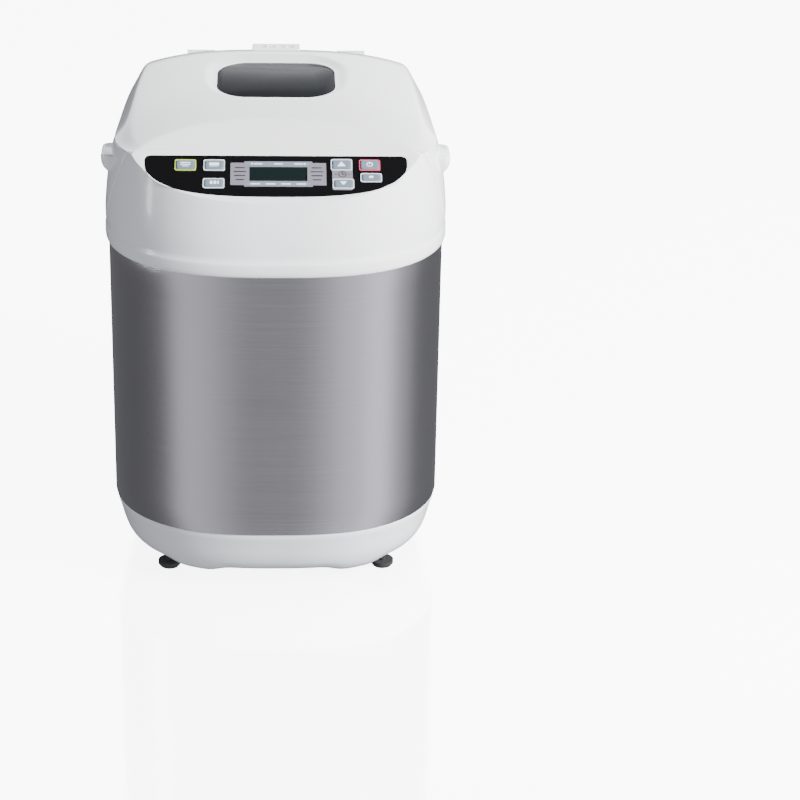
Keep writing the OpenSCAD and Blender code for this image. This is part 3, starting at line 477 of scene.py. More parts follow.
def even_points(points, count):
    """The same line with evenly spaced points."""
    lengths = [0.0]
    for a, b in zip(points, points[1:]):
        lengths.append(lengths[-1] + math.dist(a, b))
    spaced = []
    index = 0
    for k in range(count):
        target = lengths[-1] * k / (count - 1)
        while index < len(points) - 2 and lengths[index + 1] < target:
            index += 1
        span = lengths[index + 1] - lengths[index] or 1.0
        share = min(1.0, max(0.0, (target - lengths[index]) / span))
        spaced.append(tuple(a + (b - a) * share for a, b in zip(points[index], points[index + 1])))
    return spaced


def inset_outline(inset, z):
    """Casing outline drawn in by an amount, evenly spaced, anticlockwise from the middle of the front."""
    right = even_points(half_outline(HALF_W - inset, FRONT + inset, BACK - inset, 40), HALF_POINTS)
    whole = right + [(-x, y) for x, y in right[-2:0:-1]]
    return [Vector((x, y, z)) for x, y in whole]


def drape(bm, columns, rows, place):
    """A grid whose points are put in place by a function of column and row."""
    made = bmesh.ops.create_grid(bm, x_segments=columns, y_segments=rows, size=1.0)
    table = {}
    for vert in made["verts"]:
        column = round((vert.co.x + 1) / 2 * columns)
        row = round((vert.co.y + 1) / 2 * rows)
        table[column, row] = vert
    for (column, row), vert in table.items():
        vert.co = place(column, row)
    return table


def blend_between(stops, x):
    """Straight-line value between (place, value) stops."""
    for (x0, y0), (x1, y1) in zip(stops, stops[1:]):
        if x <= x1:
            return y0 + (y1 - y0) * max(0.0, (x - x0) / (x1 - x0))
    return stops[-1][1]


def soft_between(stops, x):
    """Rounded value through (place, value) stops."""
    for k, ((x0, y0), (x1, y1)) in enumerate(zip(stops, stops[1:])):
        if x <= x1 or k == len(stops) - 2:
            before = stops[max(0, k - 1)]
            after = stops[min(len(stops) - 1, k + 2)]
            start = (y1 - before[1]) / (x1 - before[0])
            end = (after[1] - y0) / (after[0] - x0)
            t = min(1.0, max(0.0, (x - x0) / (x1 - x0)))
            span = x1 - x0
            return ((2 * t ** 3 - 3 * t ** 2 + 1) * y0 + (t ** 3 - 2 * t ** 2 + t) * start * span
                    + (3 * t ** 2 - 2 * t ** 3) * y1 + (t ** 3 - t ** 2) * end * span)


# ---------------------------------------------------------------- base

# Height above the table against how far the side is drawn in, in millimetres
BASE_SIDE = [(8, 27), (9, 22.5), (11, 18), (14, 14), (19, 10.4), (25, 7.6), (32, 5.3), (40, 3.4), (48, 1.1),
             (52, 0.5)]
BASE_HEIGHTS = [8, 8.3, 9, 10, 11.5, 13, 15, 17.5, 20.5, 24, 28, 33, 38, 43, 47, 50, 51.4, 52]
BASE_LIP = 51
FOOT_ACROSS = 64 * MM
FOOT_BACK = 26 * MM
SWELLING_REACH = 21 * MM
SWELLING_LOW = 8 * MM
SWELLING_RISE = 15 * MM


def base_cover():
    """White base: rounded under, with low swellings over the front feet."""
    bm = bmesh.new()
    low = tray_low.z / MM
    front_feet = [(side * FOOT_ACROSS, FRONT + FOOT_BACK) for side in (-1, 1)]
    rings = []
    for height in BASE_HEIGHTS:
        inset = soft_between(BASE_SIDE, height)
        if height > BASE_LIP:
            inset += 0.5 * (height - BASE_LIP)
        rings.append(inset_outline(inset * MM, max(height, low) * MM))
    for ring in rings:
        for point in ring:
            away = min(math.dist((point.x, point.y), foot) for foot in front_feet)
            swelling = math.exp(-(away / SWELLING_REACH) ** 4)
            low_share = max(0.0, 1 - (point.z - SWELLING_LOW) / SWELLING_RISE)
            point.z += (2.8 - 4.6 * swelling) * low_share * MM
    rings.insert(0, inset_outline(40 * MM, tray_low.z + 1.5 * MM))
    rings.append(inset_outline(3.0 * MM, BAND_Z))
    rings.append(inset_outline(3.2 * MM, BAND_Z - 6 * MM))
    loops = [edge_loop(bm, ring) for ring in rings]
    bridge(bm, loops)
    bmesh.ops.edgeloop_fill(bm, edges=loops[0])
    face_out(bm)
    piece("base_cover", bm, "white_plastic", "casing", ["base_tray"])


# ---------------------------------------------------------------- steel band

def steel_sheet():
    """Band of brushed sheet whose two long edges are turned in."""
    bm = bmesh.new()
    turned = 0.45 * MM
    lip = [(1.6, 0.15 * MM), (turned / MM, 0.0), (0.12, 0.12 * MM), (0, turned)]
    steps = 12
    levels = [(inset, BAND_Z + up) for inset, up in lip]
    levels += [(0, BAND_Z + turned + (SEAM_Z - BAND_Z - 2 * turned) * k / steps) for k in range(1, steps)]
    levels += [(inset, SEAM_Z - down) for inset, down in reversed(lip)]
    bridge(bm, [edge_loop(bm, inset_outline(inset * MM, z)) for inset, z in levels])
    face_out(bm)
    piece("band_sheet", bm, "steel_band", "casing", ["steel_band"], smooth=70)


# ---------------------------------------------------------------- fascia and housing

# Height above the band against half width beyond the band and setback of the front, in millimetres
SIDE_OUT = [(0, 1.0), (0.5, 1.7), (2, 2.25), (4.5, 2.5), (8, 2.5), (10.4, 2.35), (12, 1.95), (14, 1.9),
            (18, 2.1), (24, 2.1), (34, 1.4), (44, 0.4), (56, -1.2), (66, -3.0), (74, -5.2), (78, -6.8),
            (80.2, -15), (84, -40)]
FRONT_BACK = [(0, -1.0), (0.5, -1.7), (2, -2.25), (4.5, -2.5), (8, -2.5), (10.4, -2.2), (12, -1.3),
              (14, -0.5), (18, 0.0), (24, 0.6), (34, 2.2), (44, 4.2), (56, 7), (66, 10), (74, 13), (78, 15),
              (80.2, 22), (84, 50)]
# Height above the band against how far the side seam lies behind the widest place, in millimetres
SEAM_LINE = [(0, -14.5), (12, -18.5), (32, -28.5), (57.5, -38.5), (69.5, -41.4)]
SEAM_GAP = 0.3
SEAM_TOP = 69.5
DECK_HEIGHT = 77.5
WALL_HEIGHTS = [0, 0.25, 0.6, 1.2, 2.2, 3.5, 5, 7, 9, 10.2, 11, 11.6, 12.2, 12.9, 13.8, 15, 17, 20, 24, 28,
                32, 36, 40, 44, 48, 52, 56, 59, 62, 65, 68, 70, 72, 74, 75.5, 76.7, DECK_HEIGHT, 78.2, 79,
                79.6, 80.2, 81, 82, 84]


def wall_line(height, front_part):
    """One level of the housing from the seam round one way, right half only."""
    out = blend_between(SIDE_OUT, height) * MM
    setback = blend_between(FRONT_BACK, height) * MM
    seam_y = WIDEST + (blend_between(SEAM_LINE, height) + (-SEAM_GAP if front_part else SEAM_GAP)) * MM
    if height >= SEAM_TOP:
        seam_y = PANEL_TOP if front_part else PANEL_TOP + 2 * SEAM_GAP * MM
    line = half_outline(HALF_W + out, FRONT + setback, BACK - max(0.0, -out), 120)
    kept = []
    for a, b in zip(line, line[1:]):
        crosses = (a[1] - seam_y) * (b[1] - seam_y) <= 0 and a[1] != b[1]
        inside = a[1] <= seam_y if front_part else a[1] >= seam_y
        if inside:
            kept.append(a)
        if crosses:
            share = (seam_y - a[1]) / (b[1] - a[1])
            kept.append((a[0] + (b[0] - a[0]) * share, seam_y))
    if not front_part:
        kept.append(line[-1])
    return kept


def strip_points(height, front_part, columns):
    half = even_points(wall_line(height, front_part), columns // 2 + 1)
    if not front_part:
        half = half[::-1]
    both = [(-x, y) for x, y in half[:0:-1]] + half
    if not front_part:
        both = both[::-1]
    return [Vector((x, y, SEAM_Z + height * MM)) for x, y in both]


def panel_point(x, s, out=0.0):
    """A point on the control panel: across, up the slope and out of it, in millimetres."""
    return Vector((x * MM, PANEL_FRONT, PANEL_LOW_Z)) + PANEL_UP * (s * MM) + PANEL_NORMAL * (out * MM)


OVERLAY_HALF = 97.5
OVERLAY_LOW = 6.8
OVERLAY_HIGH = 49.2
OVERLAY_CORNER = 5.0
OVERLAY_T = 1.2


def overlay_line(grow):
    """Outline of the black overlay: bowed below, straight above, in millimetres on the panel."""
    steps = 48
    corner_steps = 8
    half = OVERLAY_HALF + grow
    base = OVERLAY_HIGH - OVERLAY_CORNER
    reach = base - OVERLAY_LOW + grow
    line = []
    for k in range(-steps, steps + 1):
        t = math.pi / 2 * abs(k) / steps
        across = math.copysign(half * math.sin(t) ** (2 / SIDE_BOW), k)
        line.append((across, base - reach * math.cos(t) ** (2 / SIDE_BOW)))
    line[steps] = (0.0, base - reach)
    corner = OVERLAY_CORNER + grow
    turns = [math.pi / 2 * k / corner_steps for k in range(1, corner_steps + 1)]
    line += [(half - corner + corner * math.cos(a), base + corner * math.sin(a)) for a in turns]
    line += [(-half + corner - corner * math.cos(a), base + corner * math.sin(a)) for a in reversed(turns)]
    return line


def turn_in(bm, reach):
    """Folds every open edge a little way towards the middle of the machine."""
    middle_y = 20 * MM
    folded = bmesh.ops.extrude_edge_only(bm, edges=[e for e in bm.edges if e.is_boundary])["geom"]
    for vert in only_verts(folded):
        inward = Vector((-vert.co.x, middle_y - vert.co.y, 0))
        vert.co += inward.normalized() * reach


def fascia_cover():
    """Front moulding with its bead, and the sloping panel let in for the overlay."""
    bm = bmesh.new()
    columns = 160
    strips = [strip_points(height, True, columns) for height in WALL_HEIGHTS]
    drape(bm, columns, len(strips) - 1, lambda column, row: strips[row][column])
    cut = bmesh.ops.bisect_plane(bm, geom=bm.verts[:] + bm.edges[:] + bm.faces[:], dist=0.000001,
                                 plane_co=panel_point(0, 0), plane_no=PANEL_NORMAL, clear_outer=True)
    rim = [e for e in cut["geom_cut"] if isinstance(e, bmesh.types.BMEdge)]
    ends = [v for v in {v for e in rim for v in e.verts} if sum(e in rim for e in v.link_edges) == 1]
    ends.sort(key=lambda v: v.co.x)
    top_edge = straight_edge(bm, ends[0], ends[1], 60)
    well = edge_loop(bm, [panel_point(x, s) for x, s in overlay_line(0.25)])
    flat_fill(bm, rim + top_edge + well, PANEL_NORMAL)
    wall_from(bm, well, -PANEL_NORMAL * (OVERLAY_T + 0.6) * MM)
    wall_from(bm, top_edge, (0, 0, -3 * MM))
    turn_in(bm, 2 * MM)
    face_out(bm)
    bevel_edges(bm, still_there(rim), 2.2 * MM, 5)
    bevel_edges(bm, still_there(well), 0.35 * MM, 3)
    piece("fascia_cover", bm, "white_plastic", "casing", ["front_fascia"], smooth=40)


def housing_cover():
    """Housing behind the fascia: its side and back wall, and the deck round the oven's mouth."""
    bm = bmesh.new()
    columns = 240
    strips = [strip_points(height, False, columns) for height in WALL_HEIGHTS if height <= DECK_HEIGHT]
    rows = len(strips) - 1
    table = drape(bm, columns, rows, lambda column, row: strips[row][column])
    crown = [bm.edges.get((table[column, rows], table[column + 1, rows])) for column in range(columns)]
    front_edge = straight_edge(bm, table[0, rows], table[columns, rows], 50)
    overhang = 12 * MM
    mouth_w = chamber_high.x - chamber_low.x - overhang
    mouth_d = chamber_high.y - chamber_low.y - overhang
    middle = (chamber_high.y + chamber_low.y) / 2
    mouth_line = rounded_outline(mouth_w, mouth_d, 24 * MM, 16)
    mouth = edge_loop(bm, [Vector((x, middle + y, DECK_Z)) for x, y in mouth_line])
    flat_fill(bm, crown + front_edge + mouth, (0, 0, 1))
    wall_from(bm, mouth, (0, 0, -4 * MM))
    wall_from(bm, front_edge, (0, 0, -4 * MM))
    face_out(bm)
    bevel_edges(bm, still_there(crown), 1.6 * MM, 4)
    thicken(piece("housing_cover", bm, "white_plastic", "casing", ["upper_housing"], smooth=40), 1.4 * MM)


def side_grips():
    """Square-shouldered grips that stand out from the housing under the lid's edge."""
    bm = bmesh.new()
    front = grip_low.y + 1 * MM
    depth = 31 * MM
    inner = grip_high.x - 24 * MM
    top = grip_high.z - 7.5 * MM
    # How far out, how far below the top and how round at the corners, in millimetres
    profile = [(-9.0, -17.5, 3.0), (-5.0, -14.5, 4.0), (-1.6, -10.5, 5.0), (-0.3, -7.0, 5.0),
               (0.0, -4.0, 5.0), (0.0, -1.6, 5.0), (-0.45, -0.5, 4.6), (-1.6, 0.0, 3.6)]
    for side in (-1, 1):
        rings = []
        for out, drop, corner in profile:
            width = grip_high.x - inner + out * MM
            line = rounded_outline(width, depth + min(0.0, out) * MM, corner * MM, 8)
            rings.append(edge_loop(bm, [Vector((side * (inner + width / 2 + x), front + depth / 2 + y,
                                                top + drop * MM)) for x, y in line]))
        bridge(bm, rings)
        close_ends(bm, rings)
    face_out(bm)
    piece("grips", bm, "handle_plastic", "casing", ["side_handles"])


# ---------------------------------------------------------------- lid

# Shape of the lid in millimetres, with distances measured back from the front of the band
CREST_BACK = 210.0
CROWN_END = 232
CREASE_HALF = 103.0
CREASE_REACH = 101.5
FRONT_CURVE = 0.00096
BACK_CURVE = 0.00675
FRONT_DROP = 6.4
BACK_DROP = 11.2
SIDE_RUN = 10.5
CREASE_ROUND = 0.5
SHOULDER_ROUND = 3.2
EDGE_INSET = 6.5
EDGE_NOSE = 83.6
EDGE_TAIL = 204.9
LIP_UP = 0.4
LEAST_RISE = 0.3
CREST_MM = CREST_Z / MM
LID_MM = LID_Z / MM
LID_FRONT_MM = (LID_FRONT - FRONT) / MM
LID_BACK_MM = (LID_BACK - FRONT) / MM


def lid_slope(back):
    return LID_MM + 2 + (back - LID_FRONT_MM) * math.tan(PANEL_TILT)


def lid_crown(x, back):
    curve = FRONT_CURVE if back < CREST_BACK else BACK_CURVE
    drop = FRONT_DROP + (BACK_DROP - FRONT_DROP) * (back - LID_FRONT_MM) / (CROWN_END - LID_FRONT_MM)
    return CREST_MM - curve * (back - CREST_BACK) ** 2 - drop * (abs(x) / CREASE_HALF) ** 3


def lid_top(x, back):
    """The lower of slope and crown, with a small round where they meet."""
    slope, crown = lid_slope(back), lid_crown(x, back)
    overlap = max(0.0, CREASE_ROUND - abs(slope - crown))
    return min(slope, crown) - overlap * overlap / (4 * CREASE_ROUND)


def lid_half(back):
    """Half width of the lid's lower edge."""
    half = HALF_W / MM - EDGE_INSET
    if back < WIDEST_BACK:
        return half * (1 - ((WIDEST_BACK - back) / EDGE_NOSE) ** FRONT_BOW) ** (1 / SIDE_BOW)
    u = (back - WIDEST_BACK) / EDGE_TAIL
    return half * (1 - BACK_TAPER * u) * (1 - u ** BACK_SQUARE) ** (1 / BACK_SQUARE)


def crease_back(x):
    """How far back the slope meets the crown."""
    near = LID_FRONT_MM
    far = 120.0
    for _ in range(40):
        middle = (near + far) / 2
        if lid_slope(middle) < lid_crown(x, middle):
            near = middle
        else:
            far = middle
    return near


SLOPE_ROWS = 12
CROWN_ROWS = 70
TOP_COLUMNS = 44
SIDE_COLUMNS = 12
ROUND_COLUMNS = 6


def lid_place(column, row):
    """Point of the lid's cover for a column across and a row back."""
    across = column - TOP_COLUMNS - SIDE_COLUMNS
    share = min(1.0, abs(across) / TOP_COLUMNS)
    crease = max(crease_back(share * CREASE_REACH), LID_FRONT_MM + 1.5)
    if row <= SLOPE_ROWS:
        k = row / SLOPE_ROWS
        back = LID_FRONT_MM + (crease - LID_FRONT_MM) * (1 - (1 - k) ** 1.8)
    else:
        k = (row - SLOPE_ROWS) / CROWN_ROWS
        back = crease + (LID_BACK_MM - crease) * (1 - (1 - k) ** 1.15) * (0.35 + 0.65 * min(1.0, 4 * k))
    edge = lid_half(back)
    shoulder = edge - SIDE_RUN
    lip = LID_MM + LIP_UP
    rise = max(LEAST_RISE, lid_top(shoulder, back) - LID_MM - LIP_UP)
    rounding = min(SHOULDER_ROUND, 0.45 * rise)
    steps = abs(across) - TOP_COLUMNS
    top_run = shoulder - rounding
    if steps <= 0:
        x = share * top_run
        height = lid_top(x, back)
    else:
        down = rounding / rise
        face_x = shoulder + SIDE_RUN * down
        face_z = lip + rise * (1 - down)
        if steps <= ROUND_COLUMNS:
            t = steps / ROUND_COLUMNS
            x = (1 - t) ** 2 * top_run + 2 * t * (1 - t) * shoulder + t * t * face_x
            height = ((1 - t) ** 2 * max(lid_top(top_run, back), face_z) + 2 * t * (1 - t) * (lip + rise)
                      + t * t * face_z)
        else:
            t = (steps - ROUND_COLUMNS) / (SIDE_COLUMNS - ROUND_COLUMNS)
            x = face_x + (edge - face_x) * t
            height = face_z + (lip - face_z) * t
    return Vector((math.copysign(x, across) * MM, FRONT + back * MM, max(height, lip) * MM))


WINDOW_BACK = 158.5
WINDOW_SLOPE = math.tan(math.radians(3.5))
WELL_BACK = 164.5
WELL_W, WELL_D, WELL_R = 113.0, 92.0, 37.0
WELL_MARGIN = 3.2
WELL_SHARES = (0.05, 0.12, 0.22, 0.35, 0.5, 0.65, 0.78, 0.88, 0.95, 0.985)
PANE_W, PANE_D, PANE_R = 92.0, 77.0, 24.0


def pane_height(back):
    """Height of the window's plane in millimetres at a distance back."""
    front_edge = WINDOW_BACK - PANE_D / 2
    return lid_crown(0, front_edge) - 0.6 + (back - front_edge) * WINDOW_SLOPE


def window_ring(width, depth, radius, back, height):
    return [Vector((x * MM, FRONT + (back + y) * MM, height(x, back + y) * MM))
            for x, y in rounded_outline(width, depth, radius, 20)]


def in_window(point, grow):
    """Whether a point lies over the window's well, grown all round."""
    x = abs(point.x) / MM
    y = abs((point.y - FRONT) / MM - WELL_BACK)
    half_w, half_d, corner = WELL_W / 2 + grow, WELL_D / 2 + grow, WELL_R + grow
    if x > half_w or y > half_d:
        return False
    over_x, over_y = x - (half_w - corner), y - (half_d - corner)
    return over_x <= 0 or over_y <= 0 or math.hypot(over_x, over_y) <= corner


def lid_cover():
    """Lid moulding: the slope that carries on from the panel, the crown, its sides and the window's well."""
    bm = bmesh.new()
    columns = 2 * (TOP_COLUMNS + SIDE_COLUMNS)
    rows = SLOPE_ROWS + CROWN_ROWS
    drape(bm, columns, rows, lid_place)
    skirt = bmesh.ops.extrude_edge_only(bm, edges=[e for e in bm.edges if e.is_boundary])["geom"]
    for vert in only_verts(skirt):
        vert.co.z = LID_Z
    over_well = [f for f in bm.faces if in_window(f.calc_center_median(), WELL_MARGIN)]
    bmesh.ops.delete(bm, geom=over_well, context="FACES")
    hole = [e for e in bm.edges if e.is_boundary and in_window((e.verts[0].co + e.verts[1].co) / 2, 12)]
    outer = edge_loop(bm, window_ring(WELL_W, WELL_D, WELL_R, WELL_BACK, lid_crown))
    flat_fill(bm, hole + outer, (0, 0, 1))
    pane_ring = window_ring(PANE_W, PANE_D, PANE_R, WINDOW_BACK, lambda x, b: pane_height(b) + 0.45)
    line = [e.verts[0] for e in outer]
    start = [v.co.copy() for v in line]
    for share in WELL_SHARES:
        steep = min(1.0, share * 1.02)
        fall = steep ** 2 * (3 - 2 * steep)
        spots = [Vector((*a.lerp(b, share).xy, a.z + (b.z - a.z) * fall)) for a, b in zip(start, pane_ring)]
        line = step_in(bm, line, spots)
    for inward, drop in ((1.0, 0.12), (1.006, 0.45), (1.006, 3.2)):
        line = step_in(bm, line, [Vector((*a.lerp(b, inward).xy, b.z - drop * MM))
                                  for a, b in zip(start, pane_ring)])
    face_out(bm)
    thicken(piece("lid_cover", bm, "white_plastic", "lid", ["lid_shell"], smooth=38), 1.6 * MM)


def window_pane():
    """Smoke-tinted pane lying in the lid's well."""
    bm = bmesh.new()
    play = 0.5
    rings = []
    for grow, drop in [(-0.3, 3.0), (0.0, 2.7), (0.0, 0.5), (-0.15, 0.15), (-0.5, 0.0)]:
        outline = window_ring(PANE_W - play + 2 * grow, PANE_D - play + 2 * grow, PANE_R + grow, WINDOW_BACK,
                              lambda x, b: pane_height(b) - drop)
        rings.append(edge_loop(bm, outline))
    bridge(bm, rings)
    close_ends(bm, rings)
    face_out(bm)
    piece("window_pane", bm, "window_glass", "lid", ["window_glass"], smooth=40)


def vent_cap():
    """Steam outlet on the crest, with four slots let into its top."""
    bm = bmesh.new()
    middle = (vent_high + vent_low) / 2
    base = vent_high.z - 8.5 * MM
    top = vent_high.z - 1.7 * MM
    half = 19.0
    widths = [6.2] + [6.0, 2.6] * 3 + [6.0, 6.2]
    edges_x = [-half]
    for width in widths:
        edges_x.append(edges_x[-1] + width * 2 * half / sum(widths))
    edges_y = [-7.5, -2.0, 2.0, 7.5]
    slot_x = [(edges_x[k] + edges_x[k + 1]) / 2 for k in (1, 3, 5, 7)]
    drape(bm, len(edges_x) - 1, len(edges_y) - 1,
          lambda column, row: Vector((edges_x[column] * MM, middle.y + edges_y[row] * MM, top)))
    slots = []
    for face in bm.faces:
        centre = face.calc_center_median()
        aside = min(abs(centre.x / MM - x) for x in slot_x)
        if abs(centre.y - middle.y) < MM and aside < 0.5:
            slots.append(face)
    walls = bmesh.ops.extrude_edge_only(bm, edges=[e for e in bm.edges if e.is_boundary])["geom"]
    for vert in only_verts(walls):
        vert.co.z = base
        vert.co.x *= 1.02
    for slot_face in slots:
        deep = bmesh.ops.extrude_discrete_faces(bm, faces=[slot_face])["faces"]
        bmesh.ops.translate(bm, verts=list(deep[0].verts), vec=(0, 0, -3 * MM))
    bmesh.ops.holes_fill(bm, edges=[e for e in bm.edges if e.is_boundary], sides=100)
    face_out(bm)
    soften(piece("vent_cap", bm, "white_plastic", "lid", ["steam_vent"], smooth=35), 0.8 * MM, 50)


# ---------------------------------------------------------------- control panel

# Middle across and up the slope, width and height of each button's face, in millimetres
BUTTONS = {
    "menu": (-67.2, 39.0, 13.6, 9.2), "loaf": (-45.9, 39.0, 13.6, 9.2), "crust": (-46.1, 20.2, 13.6, 7.8),
    "up": (48.6, 39.8, 13.6, 9.2), "down": (49.8, 20.2, 13.6, 7.8), "start": (69.6, 39.6, 13.6, 9.2),
    "stop": (70.5, 26.6, 13.6, 6.8),
}
BUTTON_PROUD = 1.3


def panel_shape(bm, line, low, high):
    """A flat shape on the panel with walls, from an outline in millimetres."""
    rings = [edge_loop(bm, [panel_point(x, s, out) for x, s in line]) for out in (low, high)]
    bridge(bm, rings)
    close_ends(bm, rings)


def moved(line, x, s):
    return [(px + x, py + s) for px, py in line]


def button_cap(name, x, s, width, height):
    """Push button: soft round-cornered cap with a face that dips a little."""
    bm = bmesh.new()
    # Inset, how far it stands out of the panel and corner radius, in millimetres
    levels = [(0.0, -1.0, 1.6), (0.0, 0.55, 1.6), (0.18, 0.95, 1.5), (0.55, 1.22, 1.3),
              (1.0, BUTTON_PROUD, 1.1), (2.0, BUTTON_PROUD - 0.06, 0.9), (3.0, BUTTON_PROUD - 0.1, 0.5)]
    rings = []
    for inset, out, corner in levels:
        line = moved(rounded_outline(width - 2 * inset, height - 2 * inset, corner, 6), x, s)
        rings.append(edge_loop(bm, [panel_point(px, ps, out) for px, ps in line]))
    bridge(bm, rings)
    close_ends(bm, rings)
    face_out(bm)
    piece(name + "_cap", bm, "button_face", name + "_key", [name + "_button"])


def printed_mark(name, shapes, slot, body, out, material):
    """Thin ink shapes that stand a hair above the face they are printed on."""
    bm = bmesh.new()
    for line in shapes:
        panel_shape(bm, line, out - 0.12, out + 0.03)
    face_out(bm)
    piece(name, bm, slot, body, smooth=0, material=material)


def bar(x, s, width, height):
    return moved(rounded_outline(width, height, min(width, height) * 0.3, 3), x, s)


def triangle(x, s, size, up):
    turn = 1 if up else -1
    return [(x - size * turn, s - size * 0.8 * turn), (x + size * turn, s - size * 0.8 * turn),
            (x, s + size * 0.9 * turn)]


def disc(x, s, radius, count):
    return [(x + radius * math.cos(2 * math.pi * k / count), s + radius * math.sin(2 * math.pi * k / count))
            for k in range(count)]


def ring_segments(x, s, inner, outer):
    """A flat ring as short blocks."""
    count = 28
    blocks = []
    for k in range(count):
        a, b = 2 * math.pi * k / count, 2 * math.pi * (k + 1) / count
        blocks.append([(x + r * math.cos(t), s + r * math.sin(t))
                       for r, t in ((inner, a), (outer, a), (outer, b), (inner, b))])
    return blocks


# ---------------------------------------------------------------- build

base_cover()
steel_sheet()
fascia_cover()
housing_cover()
side_grips()
lid_cover()
window_pane()
vent_cap()
for button_name, button_place in BUTTONS.items():
    button_cap(button_name, *button_place)

ink_pale = printed_face("pale ink", (0.80, 0.83, 0.86), 0.35)
ink_dark = printed_face("dark ink", (0.015, 0.016, 0.02), 0.35)
strip_blue = printed_face("blue-grey strip", (0.15, 0.20, 0.27), 0.34)
FACE_OUT = BUTTON_PROUD - 0.1
PLATE_X = 1.7
PLATE_S = 30.0
PLATE_OUT = 0.4
STRIP_S = 10.4
TIMER_X = 49.2
TIMER_S = 30.2

for key, marks in {
    "menu": [bar(-67.2, 40.7, 7.6, 1.0), bar(-67.2, 38.7, 7.6, 1.0), bar(-67.2, 36.9, 4.6, 0.8)],
    "loaf": [bar(-45.9, 39.2, 7.4, 3.2), bar(-45.9, 36.5, 7.4, 0.7)],
    "crust": [bar(-47.9, 20.2, 2.0, 3.4), bar(-45.1, 20.2, 2.0, 3.4), bar(-42.8, 20.2, 1.2, 3.4)],
    "up": [triangle(48.6, 39.6, 3.5, True)],
    "down": [triangle(49.8, 20.4, 3.1, False)],
    "start": ring_segments(69.6, 39.6, 1.7, 2.4) + [bar(69.6, 41.0, 0.8, 2.6)],
    "stop": [bar(70.5, 26.6, 3.2, 3.0)],
}.items():
    printed_mark(key + "_mark", marks, "button_face", key + "_key", FACE_OUT, ink_pale)

strips = [bar(PLATE_X, PLATE_S + STRIP_S, 48, 3.6), bar(PLATE_X, PLATE_S - STRIP_S, 48, 3.6)]
printed_mark("display_strips", strips, "panel_grey", "casing", PLATE_OUT + 0.02, strip_blue)
strip_inks = [bar(PLATE_X + x, PLATE_S + STRIP_S, 6.4, 1.1) for x in (-15, 0, 15)]
strip_inks += [bar(PLATE_X + x, PLATE_S - STRIP_S, 7.2, 1.1) for x in (-17, -5.7, 5.7, 17)]
strip_inks += [disc(PLATE_X + x, PLATE_S + STRIP_S, 0.8, 16) for x in (-19.5, 19.5)]
printed_mark("strip_marks", strip_inks, "panel_grey", "casing", PLATE_OUT + 0.07, ink_pale)
stage_bars = [bar(PLATE_X + side * 28.6, PLATE_S + s, w, 1.0)
              for side in (-1, 1) for s, w in ((6.4, 7.4), (2.3, 9.4), (-1.8, 8.4), (-6.0, 6.2))]
printed_mark("stage_marks", stage_bars, "panel_grey", "casing", PLATE_OUT + 0.04, ink_dark)

timer_line = moved(rounded_outline(15.2, 32.4, 1.6, 6), TIMER_X, TIMER_S)
printed_mark("timer_strip", [timer_line], "panel_grey", "casing", 0.06, finishes["panel_grey"])
clock = ring_segments(TIMER_X, TIMER_S, 2.5, 3.1) + [bar(TIMER_X, 31.2, 0.7, 2.6), bar(50.1, 30.1, 2.2, 0.7)]
clock += [bar(TIMER_X + side * 5.0, TIMER_S, 1.6, 0.6) for side in (-1, 1)]
printed_mark("timer_mark", clock, "panel_grey", "casing", 0.11, ink_dark)


# ---------------------------------------------------------------- floor, air and light

def staged(name, bm, finish):
    made = mesh_object(name, bm, finish.material)
    return made


floor_finish = Finish("white mirror table", (0.94, 0.945, 0.95), 0.07, Metallic=0.5, Emission_Strength=6.5,
                      Emission_Color=(0.97, 0.98, 1.0, 1.0))
floor_finish.set("Roughness", 0.05 + floor_finish.noise(3.0, 3.0) * 0.05)
floor_bm = bmesh.new()
bmesh.ops.create_grid(floor_bm, x_segments=2, y_segments=2, size=5.0)
floor = staged("table_top", floor_bm, floor_finish)
floor.visible_glossy = False
floor.visible_diffuse = False

world = bpy.data.worlds.new("studio air")
bpy.context.scene.world = world
world.use_nodes = True
air = Shading(world.node_tree)

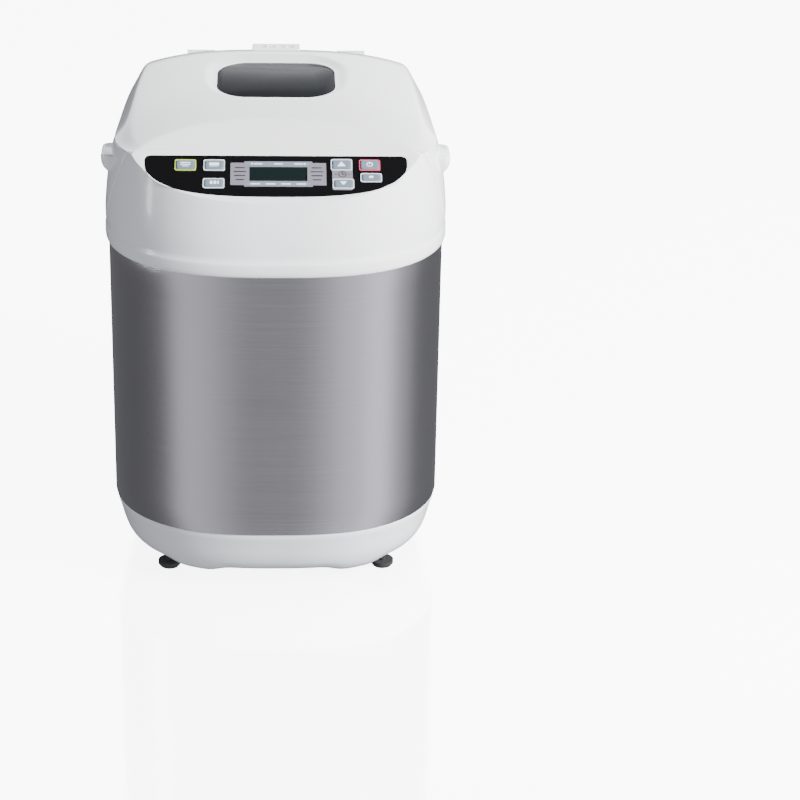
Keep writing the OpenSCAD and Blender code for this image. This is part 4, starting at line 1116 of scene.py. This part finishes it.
# Studio brightness round the machine: degrees to the right of its front, brightness
ROUND_THE_ROOM = [(-180, 0.10), (-96, 0.08), (-66, 0.10), (-57, 0.20), (-50, 0.50), (-40, 0.52),
                  (-24, 0.40), (-12, 0.30), (-4, 0.10), (3, 0.10), (12, 0.34), (24, 0.58), (42, 0.66),
                  (50, 1.00), (63, 0.92), (72, 0.42), (84, 0.26), (92, 0.30), (98, 0.12), (180, 0.10)]


def air_part(which):
    at = air.node("ShaderNodeTexCoord", {}, {}, "Generated")
    return air.node("ShaderNodeSeparateXYZ", {}, {"Vector": at}, which)


def air_ramp(value, stops):
    return air.node("ShaderNodeValToRGB", {"stops": [(p, (v, v, v)) for p, v in stops]}, {"Fac": value})


bearing = air.node("ShaderNodeMath", {"operation": "ARCTAN2"}, {0: air_part("X"), 1: air_part("Y") * -1.0})
around = air_ramp(bearing * (0.5 / math.pi) + 0.5, [(d / 360 + 0.5, v) for d, v in ROUND_THE_ROOM])
upward = air_ramp(air_part("Z"), [(0.0, 1.0), (0.35, 1.0), (0.62, 0.25), (0.8, 0.05)])
behind = air_ramp(air_part("Y"), [(0.70, 0.0), (0.84, 1.0)])
backdrop = behind * air_ramp(air_part("Z"), [(0.05, 0.0), (0.2, 1.0), (0.55, 1.0), (0.75, 0.0)])
glow = air.node("ShaderNodeCombineColor", {}, {"Red": around * upward * 1.96 + backdrop * 4.0,
                                               "Green": around * upward * 2.0 + backdrop * 4.1,
                                               "Blue": around * upward * 2.16 + backdrop * 4.2})
world.node_tree.links.new(glow.socket, world.node_tree.nodes["Background"].inputs["Color"])


def soft_light(name, place, aim, size, power, seen):
    lamp = bpy.data.lights.new(name, "AREA")
    lamp.shape = "RECTANGLE"
    lamp.size, lamp.size_y = size
    lamp.energy = power
    made = bpy.data.objects.new(name, lamp)
    bpy.context.scene.collection.objects.link(made)
    away = Vector(place) - Vector(aim)
    made.matrix_world = Matrix.Translation(place) @ away.to_track_quat("Z", "Y").to_matrix().to_4x4()
    made.visible_glossy = seen


soft_light("right_bank", (1.75, -0.95, 1.35), (0, 0, 0.2), (1.1, 1.1), 265, seen=False)
soft_light("left_strip", (-1.5, -0.55, 0.7), (0, 0, 0.3), (0.16, 1.1), 7, seen=True)
